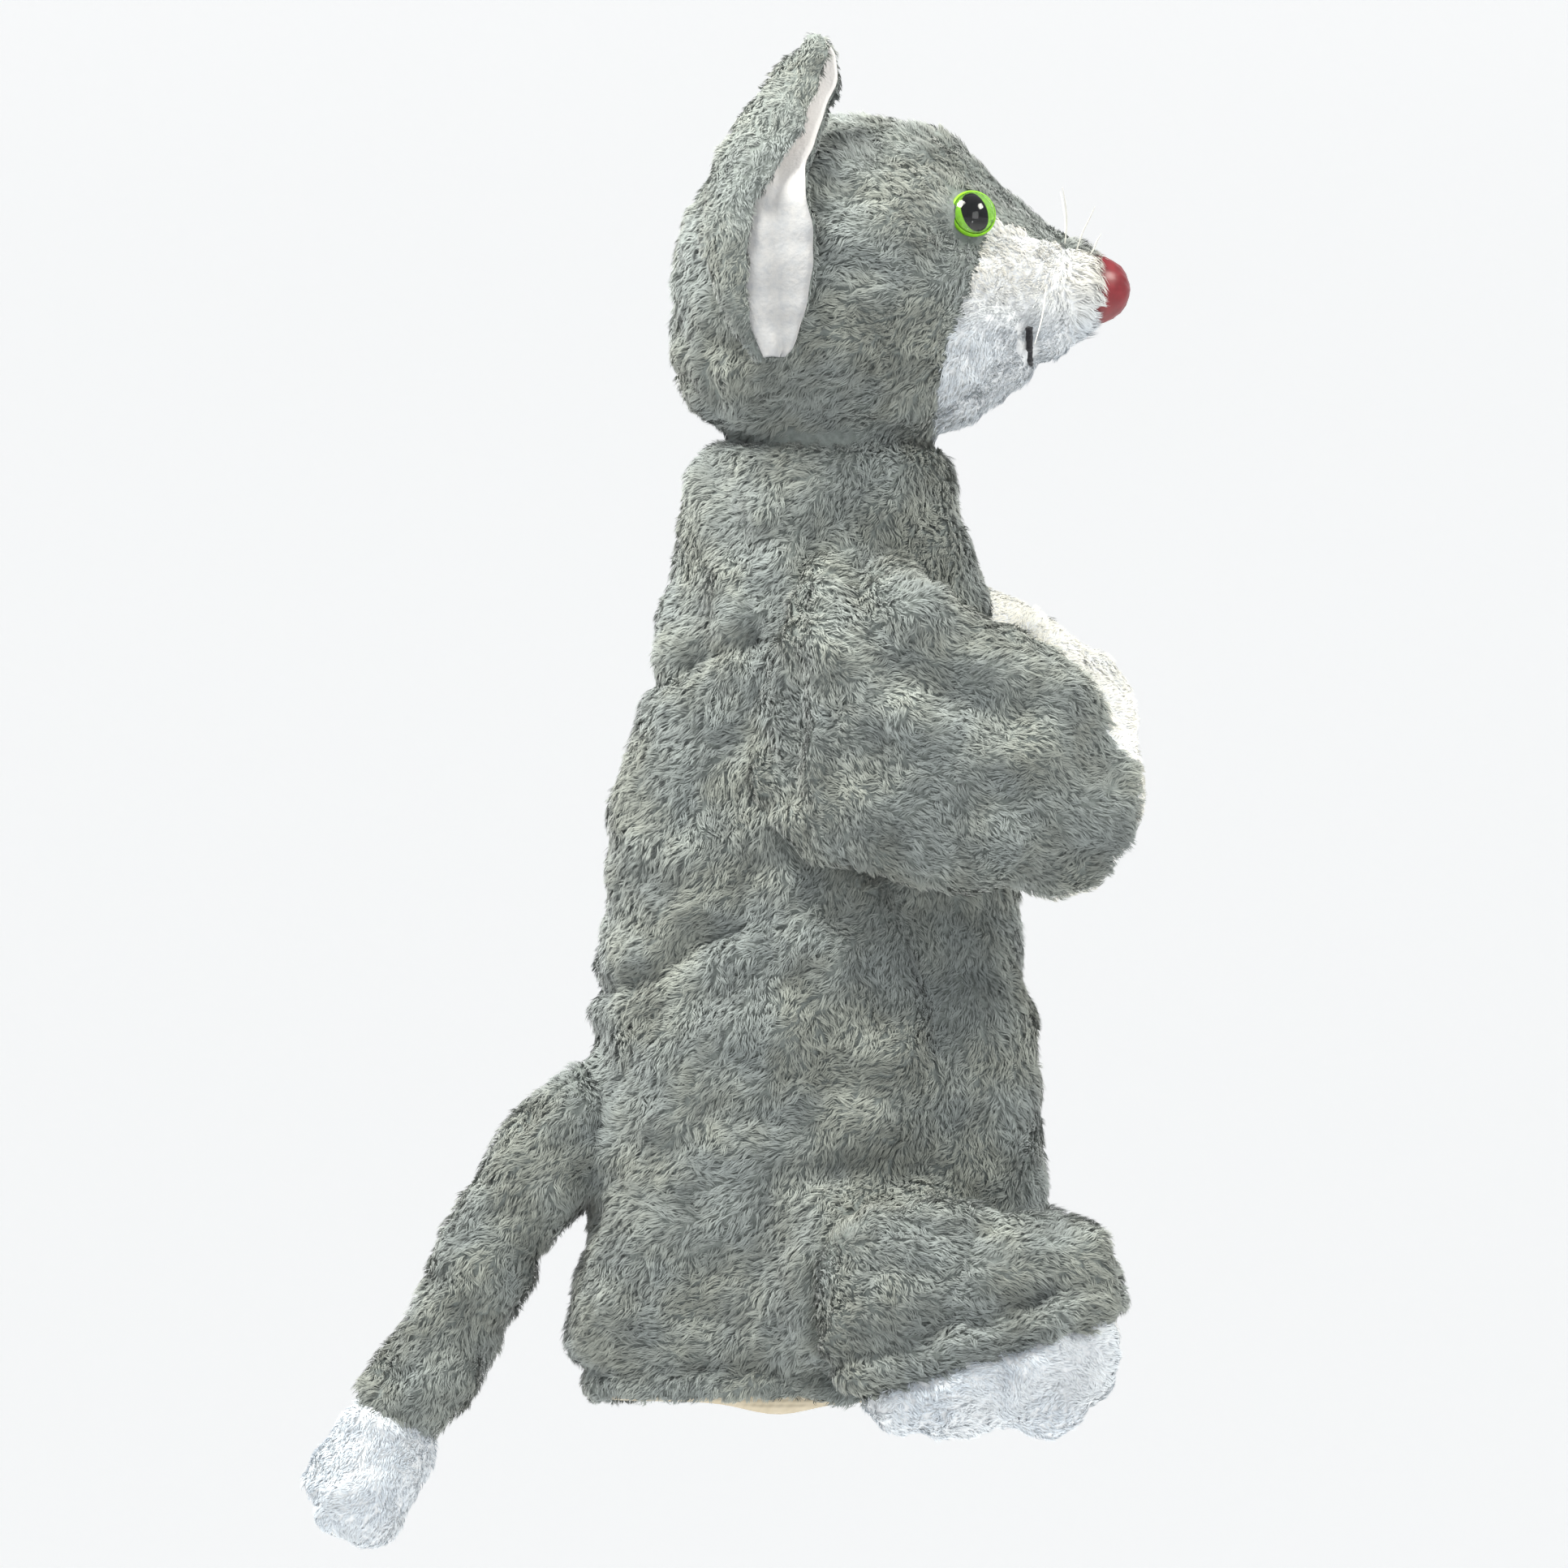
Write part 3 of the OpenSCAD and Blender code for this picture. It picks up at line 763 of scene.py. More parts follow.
def make_body():
    whole = body_skin()
    bend = ("neck", (0, NECK[1], 226), (0, NECK[1], 256))
    for name, side in SIDES.items():
        skin = keep_faces(whole, f"body_{name}_plush", lambda c: (c[:, 0] * side > 0) & body_wall(c))
        plush(f"body_{name}", skin, GREY, body_flow, 3.8, "body", bend, seed=10 + int(side))
    drop(whole)


def hem_lift(p):
    """The hem rides up a little at the middle of the right side, where the lining shows."""
    return 1.6 * np.exp(-(((p[:, 1] - 9) / 13) ** 2)) * (p[:, 0] < 0)


def make_hem():
    """The turned-up hem: a soft roll round the opening."""
    a = np.linspace(0, 2 * math.pi, 140, endpoint=False)
    _, back, front, half = catmull(BODY, 60)[2]
    cy, ry, rx = (back + front) / 2, (back - front) / 2 - 4.6, half - 4.6
    b = np.linspace(0, 2 * math.pi, 20, endpoint=False)
    centre = np.stack([rx * np.cos(a), cy + ry * np.sin(a), 4.4 + 0.4 * np.sin(3 * a + 1)], 1)
    centre[:, 2] += hem_lift(centre)
    out = unit(np.stack([np.cos(a) / rx, np.sin(a) / ry, 0 * a], 1))
    roll = np.array([0, 0, 1]) * (3.4 * np.sin(b))[:, None]
    ring = centre[:, None] + out[:, None] * (2.2 * np.cos(b))[:, None] + roll
    hem = loft("hem_band_plush", np.concatenate([ring, ring[:1]]), caps=False)
    weld(hem)
    push(hem, lambda p, n: 0.4 * waves(p, 9, 21))
    flow = lambda p, n: along_skin(-p * [1, 1, 0] * 0.004 + [0, 0.5, -0.6], n)
    outer = lambda p: (p[:, 0] / rx) ** 2 + ((p[:, 1] - cy) / ry) ** 2 > 0.98
    plush("hem_band", hem, GREY, flow, 3.0, "body", seed=21, lean=72, keep=outer)


def make_lining():
    """The cotton glove inside, seen at the hem."""
    rows = catmull([row for row in BODY if row[0] < 240], 60)
    a = np.linspace(0, 2 * math.pi, 96, endpoint=False)
    z, back, front, half = (rows[:, i : i + 1] for i in range(4))
    z = z + np.linspace(-3.4, 4, 60)[:, None]
    gap = 7.4 + 4.2 * smooth((z - 2) / 26)
    y = (back + front) / 2 + ((back - front) / 2 - gap) * np.sin(a)
    rings = np.stack([(half - gap) * np.cos(a), y, z + 0 * a], 2)
    near = rings[:, :, 0] < 0
    edge = smooth(1 - np.arange(60) / 8)[:, None]
    rings[:, :, 2] -= edge * near * 3.2 * np.exp(-(((rings[:, :, 1] - 9) / 12) ** 2))
    rings[:, :, 0] -= edge * near * 1.5 * np.exp(-(((rings[:, :, 1] - 9) / 10) ** 2))
    lining = loft("body_lining_cloth", rings, caps=False)
    drape = lambda p, n: 0.9 * waves(p * [1, 1, 0.35], 16, 23) + 0.4 * waves(p, 8, 24)
    push(lining, lambda p, n: drape(p, n) * smooth((p[:, 2] + 2) / 30))
    glove = keep_faces(lining, "body_lining_glove", off_armhole)
    drop(lining)
    thicken(glove, LINING)
    fit(glove, "cotton", "body", "body_lining")


def make_label():
    """A folded tape loop sewn in at the front of the hem, left blank."""
    lo, hi = (np.array(c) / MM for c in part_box("blank_label"))
    t = np.linspace(0, 1, 24)
    y = np.concatenate([lo[1] + 0.35 * np.sin(t * 3.14), lo[1] + 1.0 + 0.35 * np.sin(t * 3.14)])
    z = np.concatenate([hi[2] + (lo[2] - hi[2]) * t, lo[2] + (hi[2] - lo[2]) * t])
    rows = [[(x, yy, zz) for x in np.linspace(lo[0], hi[0], 8)] for yy, zz in zip(y, z)]
    label = new_object("blank_label_tape", np.array(rows).reshape(-1, 3), grid_faces(48, 8, closed=False))
    thicken(label, 0.25)
    fit(label, "tape", "body", "blank_label")


make_body()
make_hem()
make_lining()
make_label()


# ---------- arms ----------

# Distance along Y, centre X, centre Z, half thickness, half height
ARM = [
    (10, -35, 178, 5, 33), (2, -39.5, 180, 10, 40.5), (-8, -42.5, 180.5, 12, 42), (-18, -44, 179.5, 12.5, 42),
    (-32, -44, 176.5, 12.5, 40.5), (-50, -42.5, 170.5, 13, 38.5), (-64, -40, 165.5, 13.5, 33),
    (-76, -38, 162, 12.5, 25), (-83.5, -37, 160.5, 9, 16), (-87.5, -37, 160, 3, 6),
]
PALM_Y, PALM_X = -51.0, -41.0  # the palm's seams with the sleeve


def shrink(rows, by):
    """Sections across Y with each end and half size reduced."""
    out = np.array(rows, float)
    out[:, 3:] = np.maximum(out[:, 3:] - by, 0.6)
    out[0, 0] -= 0.5 * by
    out[-1, 0] += by
    return out


def arm_skin():
    mitt = loft("mitt", ring_across_y(catmull(shrink(ARM, FUR), 60), power=2.5))
    root = ellipsoid("root", (-23, -4, 187), (20, 20, 38), 8)
    cap = ellipsoid("cap", (-25, -16, 203), (15, 22, 18), 40)
    skin = merge("arm", [mitt, root, cap], passes=8)

    def folds(p, n):
        d = 1.2 * waves(p, 26, 31) + 0.7 * waves(p, 13, 32) + 0.3 * waves(p, 7, 33)
        d += crease(p, [(-12, 216), (-15, 205), (-24, 193), (-38, 186), (-54, 183)], 4.6, 5.5, -1)
        d += crease(p, [(3, 196), (4, 178), (6, 160)], 2.2, 2.6, -1)
        d += crease(p, [(-20, 176), (-34, 171), (-48, 176)], 1.6, 4.0, -1)
        return d

    push(skin, folds)
    return skin


def arm_flow(p, n):
    way = np.tile([0.0, -1.0, -0.35], (len(p), 1))
    way[:, 2] -= 0.5 * smooth((p[:, 1] + 30) / 40)
    return way


def rest_turn(side):
    """How an arm modelled on the right is turned to where it is held at rest."""
    if side < 0:
        return np.eye(3)
    s = math.radians(-LEFT_SPREAD)
    swing = np.array([[math.cos(s), -math.sin(s), 0], [math.sin(s), math.cos(s), 0], [0, 0, 1]])
    return np.diag([-1.0, 1, 1]) @ about_x(-LEFT_RAISE) @ swing


def held(obj, side):
    """Moves a right arm's piece to its side, bending at the shoulder like the fabric does."""
    if side < 0:
        return obj
    p = points_of(obj.data)
    share = smooth((2 - p[:, 1]) / 30)
    wrist = np.exp(-(((p[:, 1] + 39) / 14) ** 2)) * smooth((p[:, 2] - 180) / 30)
    angle = np.radians(-LEFT_SPREAD) * share
    q = p - SHOULDER + np.array([0, 0, 1.0]) * (LEFT_WRIST * wrist)[:, None]
    x = q[:, 0] * np.cos(angle) - q[:, 1] * np.sin(angle)
    y = q[:, 0] * np.sin(angle) + q[:, 1] * np.cos(angle)
    q = np.stack([x, y, q[:, 2]], 1) @ about_x(-LEFT_RAISE).T + SHOULDER
    q[:, 0] *= -1
    set_points(obj.data, q)
    obj.data.flip_normals()
    return obj


def on_palm(p):
    return (p[:, 1] < PALM_Y) & (p[:, 0] > PALM_X)


def on_sleeve(p):
    """True outside the body and a little way in, so that the sleeve's end stays hidden when the arm moves."""
    deep = (p[:, 0] > -26) & (p[:, 1] > -38) & (inside_body(p) <= 0.7)
    return ~on_palm(p) & ~deep


def in_pocket(p):
    """True on the finger pocket, and not at its mouth towards the body."""
    return (p[:, 0] < -38) | (np.hypot(p[:, 1] + 16, p[:, 2] - 184) > 13)


def make_arms():
    whole = arm_skin()
    for name, side in SIDES.items():
        sleeve = keep_faces(whole, f"sleeve_{name}_plush", on_sleeve)
        palm = keep_faces(whole, f"palm_{name}_plush", on_palm)
        turn = rest_turn(side)
        way = lambda p, n, t=turn: arm_flow(p, n) @ t.T
        ahead = np.array([0, -1.0, 0]) @ turn.T
        pivot = SHOULDER * [-side, 1, 1]
        bend = (f"arm_{name}", pivot - 14 * ahead, pivot + 16 * ahead)
        shoulder = f"shoulder_{name}"
        plush(f"sleeve_{name}", held(sleeve, side), GREY, way, 3.6, shoulder, bend, seed=40 + int(side))
        # The palms take the lighter palm pile, which is painted light.
        plush(f"palm_{name}", held(palm, side), WHITE, way, 2.7, shoulder, bend, seed=44 + int(side),
              gather=0.2, mat="palm")
        closed = loft(f"arm_lining_{name}_cloth", ring_across_y(catmull(shrink(ARM, 10)[2:], 40)), caps=False)
        push(closed, lambda p, n: 0.7 * waves(p, 14, 47))
        pocket = keep_faces(closed, f"arm_lining_{name}_pocket", in_pocket)
        drop(closed)
        thicken(pocket, LINING)
        place([held(pocket, side)], shoulder, bend)
        dress(pocket, "cotton")
        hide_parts(f"arm_lining_{name}")
    drop(whole)


make_arms()


# ---------- legs ----------

# Distance along Y, centre X, centre Z, half thickness, half height
LEG = [
    (-2, -47, 28, 6, 16), (-9, -49, 26.4, 11.5, 25.6), (-20, -49.5, 24.4, 13.5, 30.8),
    (-35, -49.5, 22.4, 13.5, 33.8), (-50, -49, 22, 13.8, 31.6), (-65, -48, 22, 14, 29.5),
    (-75.5, -47, 22.8, 12.8, 24), (-79.5, -46.5, 22.5, 9, 15.5), (-82.2, -46.5, 22.5, 3, 5),
]
SOLE = ((-14.0, 2.5), (-86.0, 25.0))  # the sole's seam from heel to toe, as Y and Z


def above_sole(p):
    """Height of points above the sole's seam."""
    (y0, z0), (y1, z1) = SOLE
    return p[:, 2] - (z0 + (p[:, 1] - y0) * (z1 - z0) / (y1 - y0))


def leg_skin():
    foot = loft("foot", ring_across_y(catmull(shrink(LEG, FUR), 60), power=2.2))
    haunch = ellipsoid("haunch", (-33, -22, 32), (17, 22, 24), 15)
    skin = merge("leg", [foot, haunch], passes=7)

    def folds(p, n):
        h = above_sole(p)
        d = 0.9 * waves(p, 22, 61) + 0.5 * waves(p, 11, 62) + 0.4 * waves(p, 7, 63)
        d += -3.0 * np.exp(-((h - 0.5) / 2.0) ** 2)
        d += 1.8 * np.exp(-((h - 5.5) / 2.6) ** 2)
        d += -3.2 * np.exp(-((h - 12.0) / 3.2) ** 2) * smooth((p[:, 1] + 84) / 30)
        d += crease(p, [(-22, 52), (-36, 46), (-50, 47)], 1.4, 3.5)
        return d

    push(skin, folds)
    return skin


def make_legs():
    whole = leg_skin()
    for name, side in SIDES.items():
        pivot = HIP * [-side, 1, 1]
        bend = (f"leg_{name}", pivot + [0, 26, 6], pivot + [0, 2, 0])
        upper = keep_faces(whole, f"leg_skin_{name}_plush",
                           lambda c: (above_sole(c) > 0) & (inside_body(c) > 0.86))
        on_side(upper, side)
        plush(f"leg_skin_{name}", upper, GREY, fixed_flow(0, -1, -0.45), 3.7, "body", bend,
              seed=73 + int(side), gather=0.34, fill=0.8)
        sole = keep_faces(whole, f"sole_{name}_plush",
                          lambda c: (above_sole(c) < 0) & (inside_body(c) > 0.86))
        on_side(sole, side)
        plush(f"sole_{name}", sole, WHITE, fixed_flow(0, -1, -0.1), 2.7, "body", bend, seed=67 + int(side),
              gather=0.2)
        rings = ring_across_y(catmull(shrink(LEG, 9)[1:], 40))
        filling = loft(f"leg_stuffing_{name}_filling", rings)
        push(filling, lambda p, n: 0.8 * waves(p, 9, 67))
        on_side(filling, side)
        fit(filling, "fibre", f"leg_{name}", f"leg_stuffing_{name}")
    drop(whole)


make_legs()


# ---------- tail ----------

# Y and Z from the tail's joint, and radius
TAIL_LINE = [
    (-16, 9, 14), (-8, 2, 17.2), (2.5, -9, 16), (12.6, -23.5, 14.8), (21.2, -39.8, 14.4), (30.5, -57.5, 14),
    (39.8, -73.5, 14.2), (43.8, -83, 15.4), (49, -91, 16.3), (53, -98, 15.2), (56, -102.5, 10),
    (57, -104.8, 3),
]
TIP_FROM = 6.15  # how far along the sections the white tip starts


def tail_skin(inset=FUR):
    """The tail's skin, and the middle and direction of the seam where the tip starts."""
    count = 110
    rows = catmull([(y, z, max(r - inset, 0.8)) for y, z, r in TAIL_LINE], count)
    c = rows[:, :2] + TAIL[1:]
    d = unit(np.gradient(c, axis=0))
    a = np.linspace(0, 2 * math.pi, 40, endpoint=False)
    r = rows[:, 2:3]
    x = 0.94 * r * np.cos(a)
    y = c[:, :1] - d[:, 1:] * r * np.sin(a)
    z = c[:, 1:] + d[:, :1] * r * np.sin(a)
    at = int(TIP_FROM / (len(TAIL_LINE) - 1) * (count - 1))
    return loft("tail", np.stack([x, y, z], 2)), c[at], d[at]


def make_tail():
    whole, at, axis = tail_skin()
    push(whole, lambda p, n: 0.9 * waves(p, 20, 81) + 0.5 * waves(p, 9, 82))
    beyond = lambda p: (p[:, 1:] - at) @ axis
    push(whole, lambda p, n: -1.5 * np.exp(-((beyond(p) / 2.2) ** 2)))
    flow = fixed_flow(0, 0.5, -1)
    grey = keep_faces(whole, "tail_skin_plush", lambda c: (beyond(c) <= 0) & (inside_body(c) > 0.6))
    white = keep_faces(whole, "tail_tip_plush", lambda c: beyond(c) > 0)
    plush("tail_skin", grey, GREY, flow, 3.7, "tail", seed=81, fill=0.7)
    plush("tail_tip", white, WHITE, flow, 2.7, "tail", seed=82, gather=0.2)
    drop(whole)
    filling, _, _ = tail_skin(6.5)
    core = keep_faces(filling, "tail_stuffing_filling", lambda c: inside_body(c) > 1.05)
    drop(filling)
    push(core, lambda p, n: 0.8 * waves(p, 9, 84))
    fit(core, "fibre", "tail", "tail_stuffing")


make_tail()


# ---------- head ----------

# Distance along Y, top, bottom, half width
HEAD = [
    (35.6, 296, 281, 9), (33.7, 310, 269, 22), (29.6, 321, 259.8, 31), (20.5, 331.5, 254, 38),
    (10, 338, 251, 42), (-3, 341.3, 249.5, 43), (-16, 342.2, 250, 42.5), (-28, 339.6, 251.5, 39.5),
    (-37, 335.8, 255.3, 35), (-45, 328.6, 261.1, 30), (-53, 321.2, 267.2, 24.5),
    (-62, 314.3, 273.1, 19.5), (-70, 309, 279.8, 14.5),
    (-76, 304.8, 285.2, 10.5),
]
# The white's edges towards the cheeks and the bridge, as Y and Z
MUZZLE_BACK = [(-47.5, 318), (-46.5, 308), (-41, 292), (-35, 276), (-33, 262), (-31, 246)]
MUZZLE_TOP = [(-47.0, 313.5), (-60.0, 307.5), (-73.0, 304.0), (-80.0, 304.0)]
MOUTH_Y = -57.2


def white_zone(p):
    """True on the white muzzle, cheeks and chin."""
    back = np.interp(p[:, 2], [z for _, z in MUZZLE_BACK[::-1]], [y for y, _ in MUZZLE_BACK[::-1]])
    top = np.interp(p[:, 1], [y for y, _ in MUZZLE_TOP[::-1]], [z for _, z in MUZZLE_TOP[::-1]])
    return (p[:, 1] < back) & (p[:, 2] < top)


def head_rows(inset, count=80):
    return catmull([(y, 0, (t + b) / 2, w - inset, (t - b) / 2 - inset) for y, t, b, w in HEAD], count)


def on_head(y, angle, out):
    """A point on the head's outside at y, angle degrees round from its left side, and out proud of it."""
    rows = head_rows(-out)[::-1]
    rx, rz, cz = (np.interp(y, rows[:, 0], rows[:, i]) for i in (3, 4, 2))
    return np.array([rx * math.cos(math.radians(angle)), y, cz + rz * math.sin(math.radians(angle))])


def mouth_line():
    """The mouth's curve under the chin, from one cheek to the other."""
    points = []
    for angle in range(205, 336, 5):
        y = MOUTH_Y - 0.5 * math.cos(math.radians(angle - 270))
        sunk = 0.5 + 3.4 * smooth((48 - abs(angle - 270)) / 6)
        points.append(on_head(y, angle, -sunk))
    return points


EYES_OUT = 0.7  # how much more the eyes face sideways than their shanks


def eye_place(side):
    """Middle of an eye's front and the way it looks."""
    name = "left" if side > 0 else "right"
    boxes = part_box(f"eye_dome_{name}"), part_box(f"eye_washer_{name}")
    front, back = ((np.array(lo) + np.array(hi)) / 2 / MM for lo, hi in boxes)
    return front, unit(unit(front - back) + [EYES_OUT * side, 0, 0])


def nose_place():
    """Middle of the nose's base."""
    lo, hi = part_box("nose")
    return np.array([0, lo[1] / MM + 10.6, (lo[2] + hi[2]) / 2 / MM])


# Height, then X and Y of the ear's side edge, its outside, its back, its inside and its front edge
EAR = [
    (276, (-43.5, 12.5), (-43.8, 13), (-43.5, 13), (-43.4, 11.5), (-43.4, 7)),
    (280, (-44.5, 14.5), (-45, 16), (-43.5, 16), (-43.4, 13), (-43.8, 4)),
    (291, (-47, 17), (-48, 20.5), (-44, 23), (-43.2, 17), (-44.5, 1)),
    (305, (-47.5, 17.5), (-48.5, 22.5), (-42, 27), (-42.5, 19), (-44.5, -0.5)),
    (317, (-46, 14.5), (-46.5, 21.5), (-38, 27), (-38.5, 18), (-43, 1)),
    (326, (-42.5, 9), (-43, 18), (-34, 24.3), (-32, 15), (-37, 1)),
    (335, (-38, 3.8), (-38.5, 13), (-31, 20), (-27, 10.5), (-29.5, -2)),
    (348, (-31.5, -1.8), (-32, 5.5), (-27, 10.8), (-22.5, 3), (-23.5, -6.4)),
    (356, (-28, -3.2), (-28.5, 0.2), (-26, 3.5), (-23, 0), (-23.8, -6.6)),
    (360.5, (-26, -3), (-26, -1.5), (-25.5, 0), (-25, -1.5), (-25.2, -4)),
]
EAR_ROWS, EAR_ACROSS = 70, 40
EAR_INSIDE = -1.4  # the velour's place behind the outside


def ear_grid(out):
    """The right ear as a sheet of points, out proud of it, by rows from its side edge to its front edge."""
    levels = catmull([[z] + [v for point in points for v in point] for z, *points in EAR], EAR_ROWS)
    rows = []
    for level in levels:
        across = catmull(level[1:].reshape(5, 2), EAR_ACROSS)
        rows.append(np.column_stack([across, np.full(EAR_ACROSS, level[0])]))
    grid = np.array(rows)
    n = unit(np.cross(np.gradient(grid, axis=0), np.gradient(grid, axis=1)))
    if (n[35, 8] @ np.array([-1.0, 0.3, 0])) < 0:
        n = -n
    return grid + n * out


def behind_ear(p):
    """True where the ear's inside lies on the head, where no hair grows."""
    z = [row[0] for row in EAR]
    front = np.interp(p[:, 2], z, [row[5][1] for row in EAR])
    back = np.interp(p[:, 2], z, [row[4][1] for row in EAR])
    return (abs(p[:, 0]) > 28) & (p[:, 1] > front + 1) & (p[:, 1] < back) & (p[:, 2] < 324) & (p[:, 2] > 279)


def head_skin():
    skull = loft("skull", ring_across_y(head_rows(FUR), around=64, power=2.05))
    neck = ellipsoid("neck", (0, NECK[1], 250), (24, 27, 12))
    skin = merge("head", [skull, neck], voxel=2.2, passes=5)

    def folds(p, n):
        near = np.minimum(*[np.linalg.norm(p - eye_place(s)[0], axis=1) for s in SIDES.values()])
        d = 0.7 * waves(p, 24, 91) + 0.45 * waves(p, 11, 92) + 0.4 * waves(p, 6.5, 93)
        d = d * smooth((p[:, 1] + 78) / 26)
        d += -2.6 * np.exp(-(near / 9.0) ** 2)
        d += crease(p, [(MOUTH_Y, 286), (MOUTH_Y - 1, 280), (MOUTH_Y - 4, 272)], 1.6, 2.6)
        d += crease(p, [(-46, 306), (-41, 292), (-35, 276), (-33, 258)], 0.9, 2.2)
        d += 1.6 * np.exp(-(((p[:, 1] + 68) / 7) ** 2 + ((p[:, 2] - 297) / 9) ** 2))
        return d

    push(skin, folds)
    return skin


def head_flow(p, n):
    """The pile runs from the nose over the head and down to the neck, and stands forward round the nose."""
    way = p - np.array([0, -84, 300])
    way[:, 2] -= 40 * smooth((p[:, 1] + 20) / 50) + 10
    way[:, 1] += 20
    way[:, 2] -= 60 * smooth((300 - p[:, 2]) / 30) * smooth((p[:, 1] + 60) / 20)
    return unit(way) - np.array([0, 2.6, 0]) * smooth((-64 - p[:, 1]) / 8)[:, None]


def head_length(p):
    return 2.3 + 1.4 * smooth((p[:, 1] + 50) / 26) + 2.2 * smooth((-66 - p[:, 1]) / 6)


def clear_of_face(p):
    """No hair under the eyes, the nose, the mouth and the ears' lining."""
    yes = (np.linalg.norm(p - nose_place(), axis=1) > 7.6) & ~behind_ear(p)
    line = np.array([q for q in mouth_line() if q[2] > 276.5])
    yes &= np.min(np.linalg.norm(p[:, None] - line[None], axis=2), axis=1) > 3.2
    for s in SIDES.values():
        c, d = eye_place(s)
        q = p - c
        yes &= np.linalg.norm(q - (q @ d)[:, None] * d, axis=1) + 99 * (np.linalg.norm(q, axis=1) > 16) > 7.2
    return yes


def gusset_zone(c):
    return (abs(c[:, 0]) < 11) & (c[:, 2] > 290) & ~white_zone(c)


def head_wall(c):
    """True on the head, and not in the neck's opening."""
    return ~((np.hypot(c[:, 0], c[:, 1] - NECK[1]) < 18) & (c[:, 2] < 256))


def make_head():
    whole = head_skin()
    bend = ("head", (0, NECK[1], 244), (0, NECK[1], 272))
    for name, side in SIDES.items():
        own = lambda c: (c[:, 0] * side > 0) & head_wall(c)
        panel = lambda c: own(c) & ~white_zone(c) & ~gusset_zone(c)
        grey = keep_faces(whole, f"head_side_{name}_plush", panel)
        white = keep_faces(whole, f"muzzle_{name}_plush", lambda c: own(c) & white_zone(c))
        plush(f"head_side_{name}", grey, GREY, head_flow, head_length, "neck", bend, seed=95 + int(side),
              keep=clear_of_face, fill=0.9)
        plush(f"muzzle_{name}", white, WHITE, head_flow, head_length, "neck", bend, seed=100 + int(side),
              keep=clear_of_face, gather=0.2, lean=60, turn=12, density=5, width=0.26, fill=0.9, mat="muzzle")
    gusset = keep_faces(whole, "head_gusset_plush", gusset_zone)
    plush("head_gusset", gusset, GREY, head_flow, head_length, "neck", bend, seed=99, keep=clear_of_face)
    drop(whole)
    inner = head_rows(8, 50) * [0.84, 1, 1, 1, 1]  # shorter, to stay clear of the back of the head
    filling = loft("head_stuffing_filling", ring_across_y(inner, around=48))
    push(filling, lambda p, n: 0.9 * waves(p, 10, 97))
    bore = lathe("bore", [(11.8, 0), (11.8, 64)], np.array([0, NECK[1], NECK[2]]), (0, 0, 1), (0, 1, 0))
    carve(filling, bore, ellipsoid("seat", NECK, (24.8, 24.8, 24.8)))
    fit(filling, "fibre", "head", "head_stuffing")


def ear_outside(side):
    """A function that is True on the outer face of an ear's sheet, where its pile grows."""
    trees = [tree_of(ear_grid(out).reshape(-1, 3) * [-side, 1, 1]) for out in (0.2, EAR_INSIDE)]

    def outer(p):
        to_outside, to_inside = (np.array([tree.find(q)[2] for q in p]) for tree in trees)
        return to_outside < to_inside

    return outer


def make_ears():
    rows = grid_faces(EAR_ROWS, EAR_ACROSS, closed=False)
    lumps = lambda g: 0.5 * waves(g.reshape(-1, 3), 12, 111).reshape(g.shape[:2])[:, :, None] * [1, 1, 0]
    for name, side in SIDES.items():
        outside = ear_grid(0.0)
        back = new_object(f"ear_back_{name}_plush", (outside + lumps(outside)).reshape(-1, 3), rows)
        inside = ear_grid(EAR_INSIDE)
        across = np.linspace(0, 1, EAR_ACROSS)[None, :]
        low = smooth((330 - inside[:, :, 2]) / 12)
        inside[:, :, 0] -= 2.4 * low * smooth((0.885 - across) / 0.03) * smooth((across - 0.68) / 0.08)
        inside[:, :, 0] += 0.16 * np.sin(inside[:, :, 2] / 1.1) * across**6
        velour = new_object(f"ear_lining_{name}_velour", (inside + 0.6 * lumps(inside)).reshape(-1, 3), rows)
        out = np.array([-1.0, 0.4, 0])
        for piece, thickness, way in ((back, 1.2, out), (velour, 0.9, -out)):
            repair_sheet(piece, way)
            thicken(piece, thickness)
            on_side(piece, side)
        plush(f"ear_back_{name}", back, GREY, fixed_flow(0, 0.4, -1), 2.6, "head", seed=112 + int(side),
              keep=ear_outside(side))
        fit(velour, "velour", "head", f"ear_lining_{name}")


# Profiles of an eye's pieces, as radius and height
IRIS = [
    (0.01, 2.05), (1.5, 2.0), (3, 1.8), (4.3, 1.45), (5.2, 1.0), (5.45, 1.05), (5.8, 1.15), (6.15, 0.9),
    (6.3, 0.3), (6.2, -0.5), (5.6, -0.9), (2.0, -0.95), (2.0, -12), (0.01, -12),
]
PUPIL = [(0.01, 2.2), (1.2, 2.17), (2.2, 2.05), (3.1, 1.88), (3.5, 1.72), (3.6, 1.5), (0.01, 1.2)]
DOME = [
    (0.01, 4.3), (1.5, 4.15), (3.0, 3.65), (4.2, 2.95), (5.1, 2.1), (5.6, 1.45), (5.75, 1.2), (5.3, 1.15),
    (4.6, 1.9), (3.8, 2.6), (2.8, 3.2), (1.4, 3.7), (0.01, 3.85),
]


def make_eyes():
    for name, side in SIDES.items():
        front, look_way = eye_place(side)
        centre = front - 2.5 * look_way
        up = np.array([0, 0.26, 1.0])
        iris = lathe(f"eye_iris_{name}_disc", IRIS, centre, look_way, up)
        pupil = lathe(f"eye_pupil_{name}_slit", PUPIL, centre, look_way, up, stretch=(1.42, 1.0))
        dome = lathe(f"eye_dome_{name}_clear", DOME, centre, look_way, up)
        fit(iris, "iris", "head", f"eye_iris_{name}")
        fit(pupil, "pupil", "head", f"eye_pupil_{name}")
        fit(dome, "clear", "head", f"eye_dome_{name}")


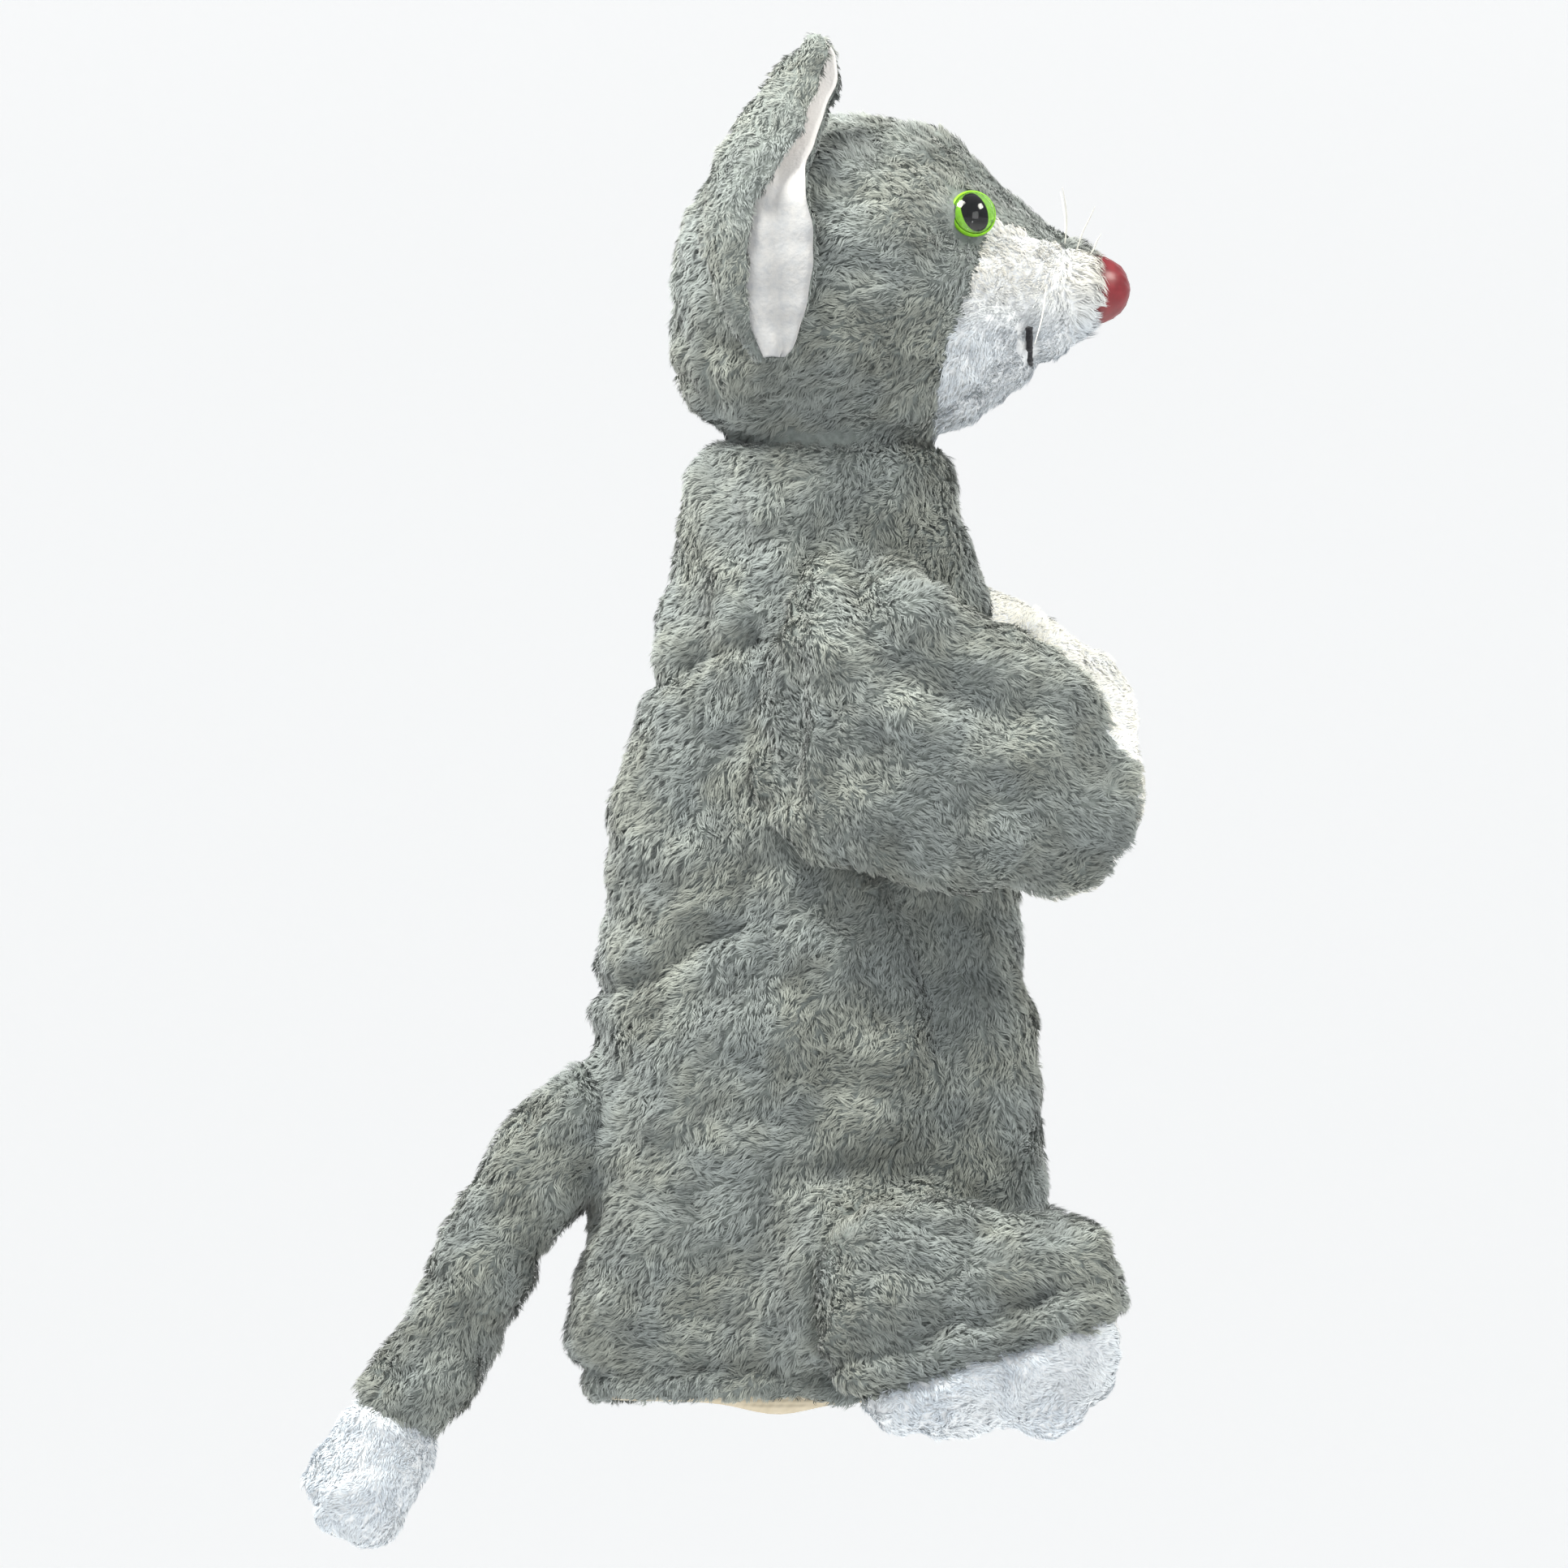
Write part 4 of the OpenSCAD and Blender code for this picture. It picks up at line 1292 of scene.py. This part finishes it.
def make_nose():
    profile = [(0.01, 9.6), (2.2, 9.35), (4.4, 8.5), (6.4, 7.1), (8.0, 5.2), (9.1, 2.9), (9.55, 0.8),
               (9.2, -1.0), (7.5, -2.0), (2.0, -2.2), (2.0, -12), (0.01, -12)]
    nose = lathe("nose_button", profile, nose_place(), (0, -1, 0), (0, 0, 1), stretch=(0.96, 0.9), around=64)
    push(nose, lambda p, n: 0.12 * waves(p, 2.2, 121))
    fit(nose, "nose", "head", "nose")


def make_mouth_and_whiskers():
    stitch = tubes("mouth_stitch_thread", [mouth_line()], [0.95])
    push(stitch, lambda p, n: 0.12 * np.sin(p @ np.array([4.0, 1.5, 4.5])))
    fit(stitch, "thread", "head", "mouth_stitch")
    # Each whisker's points on the right side
    lines = [
        [(-16, -62, 297.5), (-21, -61.6, 292), (-25, -60.6, 286), (-28, -58.8, 279.5)],
        [(-11, -67, 306.5), (-15, -67.4, 312), (-19, -67, 316.5), (-22, -66.2, 321)],
        [(-10, -70, 304.5), (-14, -71.5, 309), (-18, -73.4, 313), (-21, -74.8, 316)],
        [(-8, -73.5, 303), (-9.5, -74.8, 305.5), (-10.5, -75.6, 307.5), (-11.5, -76.5, 309)],
    ]
    for name, side in SIDES.items():
        own = [[(-side * x, y, z) for x, y, z in line] for line in lines]
        hairs = tubes(f"whiskers_{name}_nylon", own, [0.23, 0.22, 0.2, 0.22])
        fit(hairs, "nylon", "head", f"whiskers_{name}")


make_head()
make_ears()
make_eyes()
make_nose()
make_mouth_and_whiskers()


# ---------- CAD pieces that stay ----------

def finish_cad_pieces():
    """Washers, tube and seam rings keep their CAD shape and get real materials."""
    nodes_of = {
        "card": ["finger_tube"],
        "steel": ["nose_washer", "eye_washer_right", "eye_washer_left"],
        # The seam rings take the grey backing's darker colour, which is painted shade.
        "grey backing in painted shade": ["neck_collar", "tail_seam_ring", "armhole_ring_right", "armhole_ring_left"],
    }
    for mat, nodes in nodes_of.items():
        for node in nodes:
            obj = frame["nodes"][node]
            obj.data.materials.clear()
            obj.data.materials.append(MATS[mat])


finish_cad_pieces()


# ---------- camera, lights and floor ----------

def look(obj, at):
    obj.rotation_mode = "QUATERNION"
    obj.rotation_quaternion = (Vector(at) - obj.location).to_track_quat("-Z", "Y")


def area_light(name, place_at, aim, size, power, colour=(1, 1, 1)):
    data = bpy.data.lights.new(name, "AREA")
    data.color = colour
    data.shape, data.size, data.energy = "SQUARE", size, power
    light = link(name, data)
    light.location = place_at
    look(light, aim)


def make_stage():
    centre = Vector((0, 0.0073, 0.1636))
    cam = link("camera", bpy.data.cameras.new("camera"))
    distance, across = 6.0, 0.4153  # across is the width of what the camera sees
    cam.location = centre + Vector((-distance, 0, 0))
    look(cam, centre)
    sensor = 36
    cam.data.sensor_width = sensor
    cam.data.lens = sensor * distance / across
    bpy.context.scene.camera = cam
    # X and Z of the floor, level and then rising behind
    rows = [(-9.0, -0.62), (7.0, -0.62), (8.6, -0.4), (9.5, 0.3), (9.9, 1.4), (10.0, 5.0)]
    curve = catmull(rows, 60)
    verts = [(x / MM, y / MM, z / MM) for x, z in curve for y in (-9, 9)]
    floor = new_object("floor", verts, grid_faces(len(curve), 2, closed=False))
    mat, _, _ = material("floor white", (0.95, 0.95, 0.95), 0.9, Emission_Color=(1, 1, 1, 1),
                         Emission_Strength=0.3)
    floor.data.materials.append(mat)
    world = bpy.data.worlds.new("world")
    world.use_nodes = True
    sky = world.node_tree.nodes["Background"]
    sky.inputs["Color"].default_value = (0.96, 0.985, 1.0, 1)
    sky.inputs["Strength"].default_value = 0.57
    bpy.context.scene.world = world
    target = (0, 0, 0.16)
    area_light("key", (-0.28, 0.52, 1.05), target, 0.5, 28, (1.0, 0.985, 0.92))
    area_light("fill", (-1.5, -0.75, 0.4), target, 0.8, 4)
    area_light("rim", (0.9, 0.6, 0.9), target, 0.8, 5)
    area_light("window", (-0.4, -0.8, 1.0), target, 0.36, 11, (1.0, 0.98, 0.9))
    area_light("lamp", (-1.2, -0.3, -0.25), target, 0.16, 1.2)
    bpy.context.scene.view_settings.view_transform = "Standard"


make_stage()
